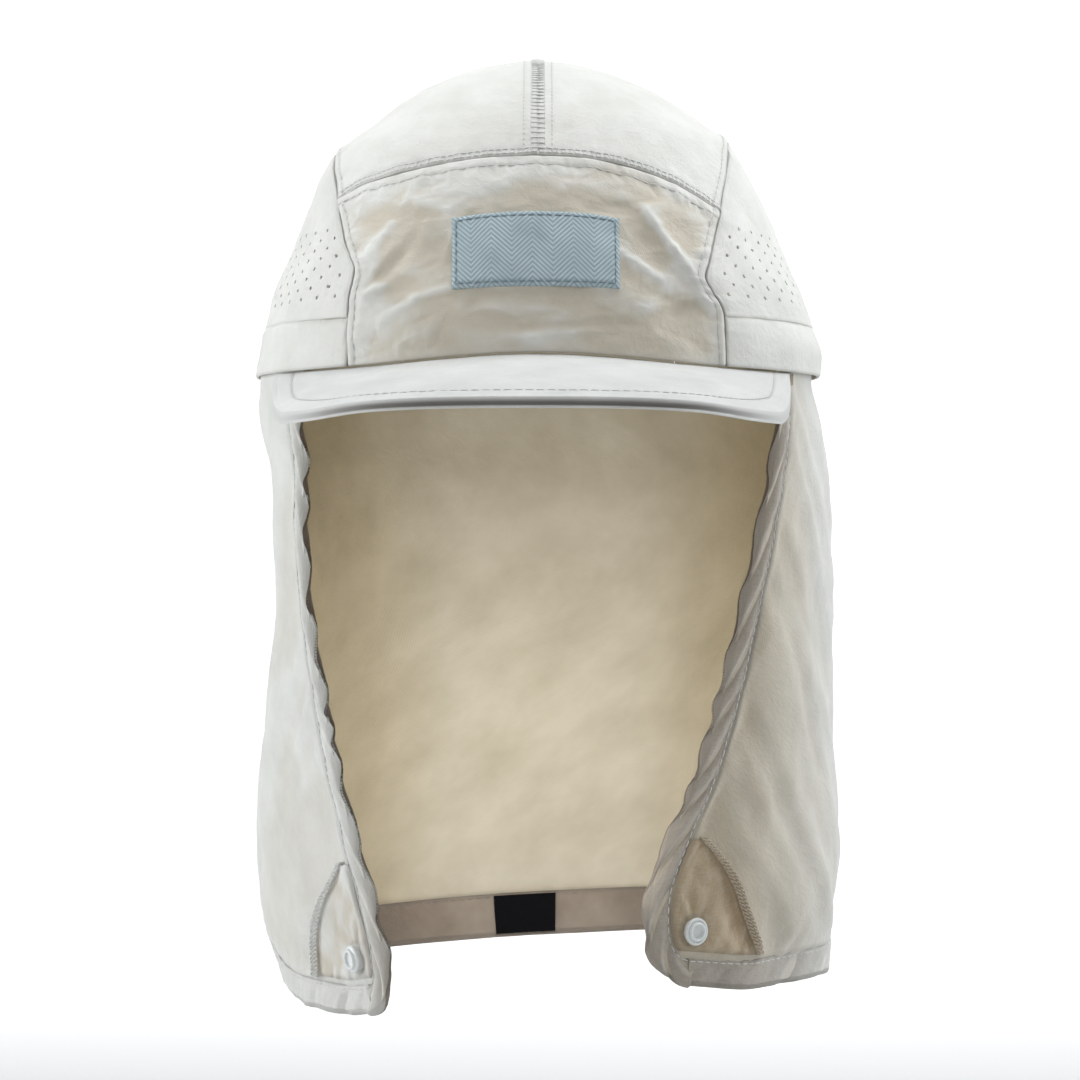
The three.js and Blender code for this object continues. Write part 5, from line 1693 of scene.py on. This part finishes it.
class CAP_OT_corners(Operator):
    """Sew the corner patches, their overlocked tapes and the press studs"""

    bl_idname = "cap.corners"
    bl_label = "Corners"

    def execute(self, context):
        finish = finishes()
        cloth = finish("patch_cloth")
        # The right tape's thread is a shaded copy of the thread, as painted shade.
        thread = {LEFT: finish("thread"), RIGHT: finish("patch_thread")}
        for name, side in SIDES.items():
            stud_at, stud_normal = (a[0] for a in on_corner(side, [STUD_FROM_EDGE], STUD_FROM_HEM))
            u, v = shares("patch")
            near, above = slant_place(lerp(0.06, 1, v), -0.6)
            start = patch_start(above) - 1.2
            patch = corner_sheet(side, lerp(start, near, u), above)
            away = np.linalg.norm(patch.base - stud_at, axis=-1)
            spokes = noise(unit(patch.base - stud_at) * 1.0, 0.3, 101 + side) * bump(away - 8, 5)
            inner = smooth(np.minimum.reduce([patch.start, patch.end, patch.top, patch.bottom]) / 3)
            patch.fold(inner * (0.9 * crumple(patch.base, 103 + side, (1.6, 1.6, 1.6)) + 0.6 * spokes))
            patch.lift(PATCH_LIFT - 0.35 * bump(away, 5.2))
            patch.lift(-0.5 * bump(patch.start, 0.8) - 0.4 * bump(patch.top, 0.8))
            # Painted shade along the patch's tucked edges and round the stud.
            patch.darken(0.4 * bump(patch.start, 1.2) + 0.3 * bump(patch.top, 1.0) + 0.3 * bump(away - 4.6, 0.8))
            node = f"corner_patch_{name}"
            settle(shell_piece(f"{node}_cloth", patch, PATCH_THICKNESS, cloth, cloth), "cape_cloth", node)

            u, v = shares("tape", (-0.5, 0.5), (0.02, 1))
            tape = corner_sheet(side, *slant_place(v, u * TAPE_WIDTH))
            rounded = 1.0 - (2 * np.abs(u)) ** 4
            tape.lift(1.25 + 0.85 * rounded + 0.16 * noise(tape.base, 1.6, 111))
            # Painted shade over the tape, more on the right, varied at random.
            tape.darken((0.3 if side > 0 else 0.2) + 0.12 * noise(tape.base, 0.9, 113))
            node = f"seam_tape_{name}"
            settle(shell_piece(f"{node}_cloth", tape, TAPE_THICKNESS, cloth, cloth), "cape_cloth", node)
            threads = Threads()
            for inset in (0.45, TAPE_WIDTH - 0.45):
                threads.row(tape.line("start", inset), pitch=1.7, length=1.35, radius=0.26)
            rows = [tape.line("start", inset) for inset in (0.4, TAPE_WIDTH / 2, TAPE_WIDTH - 0.4)]
            for pair in (rows[:2], rows[1:]):
                threads.rungs(*pair, pitch=1.3, radius=0.24, lean=0.9)
            threads.piece(f"tape_stitches_{name}", thread[side], "cape_cloth")

            profile = [(max(radius, STUD_AXIS_RADIUS), height) for radius, height in STUD_FOOT + STUD_FACES[name]]
            rings = lathe_rings(profile, STUD_SIDES, stud_at, stud_normal)
            node = f"press_stud_{name}"
            settle(ring_piece(f"{node}_moulding", rings, (finish("stud_plastic"),), sharp=40), "stud_plastic", node)
        return {"FINISHED"}


class CAP_OT_tab(Operator):
    """Lay the black tab inside the back hem"""

    bl_idname = "cap.tab"
    bl_label = "Hem tab"

    def execute(self, context):
        u, v = shares("tab", (-0.5, 0.5))
        turn = np.degrees((TAB_OFFSET + u * TAB_WIDTH) / HALF_WIDTH)
        points, normals = on_cape(turn, hem_z(turn) + v * TAB_HEIGHT)
        tab = Sheet(points)
        tab.normals = -normals
        rim = np.minimum.reduce([tab.start, tab.end, tab.top, tab.bottom])
        tab.lift(TAB_LIFT - 0.35 * bump(rim, 0.7) + 0.12 * noise(tab.base, 5, 121))
        cloth = finishes()("tab_cloth")
        settle(shell_piece("hem_tab_cloth", tab, TAB_THICKNESS, cloth, cloth), "tab_cloth", "hem_tab")
        return {"FINISHED"}


class CAP_OT_cape(Operator):
    """Hang the cape's cloth from the crown's rim"""

    bl_idname = "cap.cape"
    bl_label = "Cape"

    def execute(self, context):
        finish, sizes = finishes(), cap_sizes()
        turn, z, near = cape_grid()
        points = cape_point(turn, z)
        cloth = Sheet(points)
        around = np.gradient(points, axis=1)
        down = np.gradient(points, axis=0)
        cloth.normals = unit(np.cross(around, down))
        thick = sizes["cloth_thickness"]
        cloth.lift(thick / 2)
        cloth.fold(cape_relief(turn, z))
        # Painted shade in the grooves beside the facings' seams, stronger towards the right.
        groove = 0.4 + 0.35 * smooth(turn / 60)
        beside = groove * bump(near - EDGE_WIDTH, 1.0) + 0.3 * bump(cloth.top - hem_width(turn), 0.8)
        cloth.darken(beside * (z < FACING_TOP))
        lining = np.maximum(thick + 0.7 * cloth.relief, 0.4)
        piece = shell_piece("cape_cloth", cloth, lining, finish("cape_cloth"), finish("cape_inside"))
        settle(piece, "cape_cloth", "cape")
        steps = np.linalg.norm(np.cross(np.diff(points, axis=1)[:-1], np.diff(points, axis=0)[:, :-1]), axis=-1)
        area = float(steps.sum()) * MM**2
        width, length_ = (float(a.max()) * MM for a in (cloth.across[-1], cloth.down))
        names = ["cape_hem_cloth", "cape_stitches", "cape_inside_stitches", "hem_tab_cloth"]
        kinds = ("cape_edge_{}_cloth", "corner_patch_{}_cloth", "seam_tape_{}_cloth", "tape_stitches_{}")
        for kind in (*kinds, "press_stud_{}_moulding"):
            names += [kind.format(side_name) for side_name in SIDES]
        area = min(area, width * length_)
        return {"FINISHED"}


# The stage
class CAP_OT_stage(Operator):
    """Set the pale stage, its soft lights and the camera"""

    bl_idname = "cap.stage"
    bl_label = "Stage"

    def execute(self, context):
        finish, sizes = finishes(), cap_sizes()
        floor = -sizes["floor_drop"]
        profile = [(reach, floor + height) for reach, height in TENT_FLOOR_AND_WALL] + [TENT_TOP]
        rings = lathe_rings(profile, TENT_SIDES, (0, 0, 0), (0, 0, 1))
        count, around = rings.shape[:2]
        start = np.arange((count - 1) * around).reshape(count - 1, around)
        turned = np.roll(start, -1, axis=1)
        quads = np.stack([start, turned, turned + around, start + around], axis=-1).reshape(-1, 4)
        tent = mesh_piece("floor_and_wall", rings.reshape(-1, 3), quads.tolist(), (finish("stage"),))
        world = context.scene.world or bpy.data.worlds.new("World")
        context.scene.world = world
        world.use_nodes = True
        background = world.node_tree.nodes["Background"]
        background.inputs["Color"].default_value = WORLD_COLOUR
        background.inputs["Strength"].default_value = WORLD_STRENGTH
        for name, place, watts, (width, height), colour, aim in LAMPS:
            light = bpy.data.lights.new(name, "AREA")
            light.shape, light.size, light.size_y = "RECTANGLE", width, height
            light.energy, light.color = watts, colour
            light.spread = math.radians(INNER_GLOW_SPREAD if name == "inner_glow" else WIDE_SPREAD)
            lamp = bpy.data.objects.new(name, light)
            lamp.location = place
            lamp.rotation_euler = (Vector(aim) - Vector(place)).to_track_quat("-Z", "Y").to_euler()
            lamp.visible_camera = False
            context.scene.collection.objects.link(lamp)
        camera_data = bpy.data.cameras.new("camera")
        camera_data.lens = sizes["lens"] * MM
        camera_data.sensor_width = SENSOR_WIDTH
        camera_data.clip_start, camera_data.clip_end = 0.1, 20.0
        camera = bpy.data.objects.new("camera", camera_data)
        camera.location = (CAMERA_ACROSS * MM, -sizes["camera_distance"] * MM, sizes["camera_height"] * MM)
        camera.rotation_euler = (math.radians(90), 0, 0)
        context.scene.collection.objects.link(camera)
        context.scene.camera = camera
        context.scene.view_settings.view_transform = "Standard"
        return {"FINISHED"}


class CAP_PT_panel(Panel):
    """The cap's sizes, colours and pieces"""

    bl_idname = "CAP_PT_panel"
    bl_label = "Legionnaire cap"
    bl_space_type = "VIEW_3D"
    bl_region_type = "UI"
    bl_category = "Cap"

    def draw(self, context):
        for group in (context.scene.cap_sizes, context.scene.cap_colours):
            box = self.layout.box()
            for name in group.__annotations__:
                box.prop(group, name)
        for step in STEPS:
            self.layout.operator(step.bl_idname)


STEPS = (
    CAP_OT_stage,
    CAP_OT_crown,
    CAP_OT_label,
    CAP_OT_peak,
    CAP_OT_facings,
    CAP_OT_corners,
    CAP_OT_tab,
    CAP_OT_cape,
)
CLASSES = (CapSizes, CapColours, *STEPS, CAP_PT_panel)


def register():
    for cls in CLASSES:
        bpy.utils.register_class(cls)
    bpy.types.Scene.cap_sizes = PointerProperty(type=CapSizes)
    bpy.types.Scene.cap_colours = PointerProperty(type=CapColours)


def unregister():
    del bpy.types.Scene.cap_sizes, bpy.types.Scene.cap_colours
    for cls in reversed(CLASSES):
        bpy.utils.unregister_class(cls)


def main():
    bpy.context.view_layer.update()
    register()
    for step in STEPS:
        group, name = step.bl_idname.split(".")
        getattr(getattr(bpy.ops, group), name)()


if __name__ == "__main__":
    main()
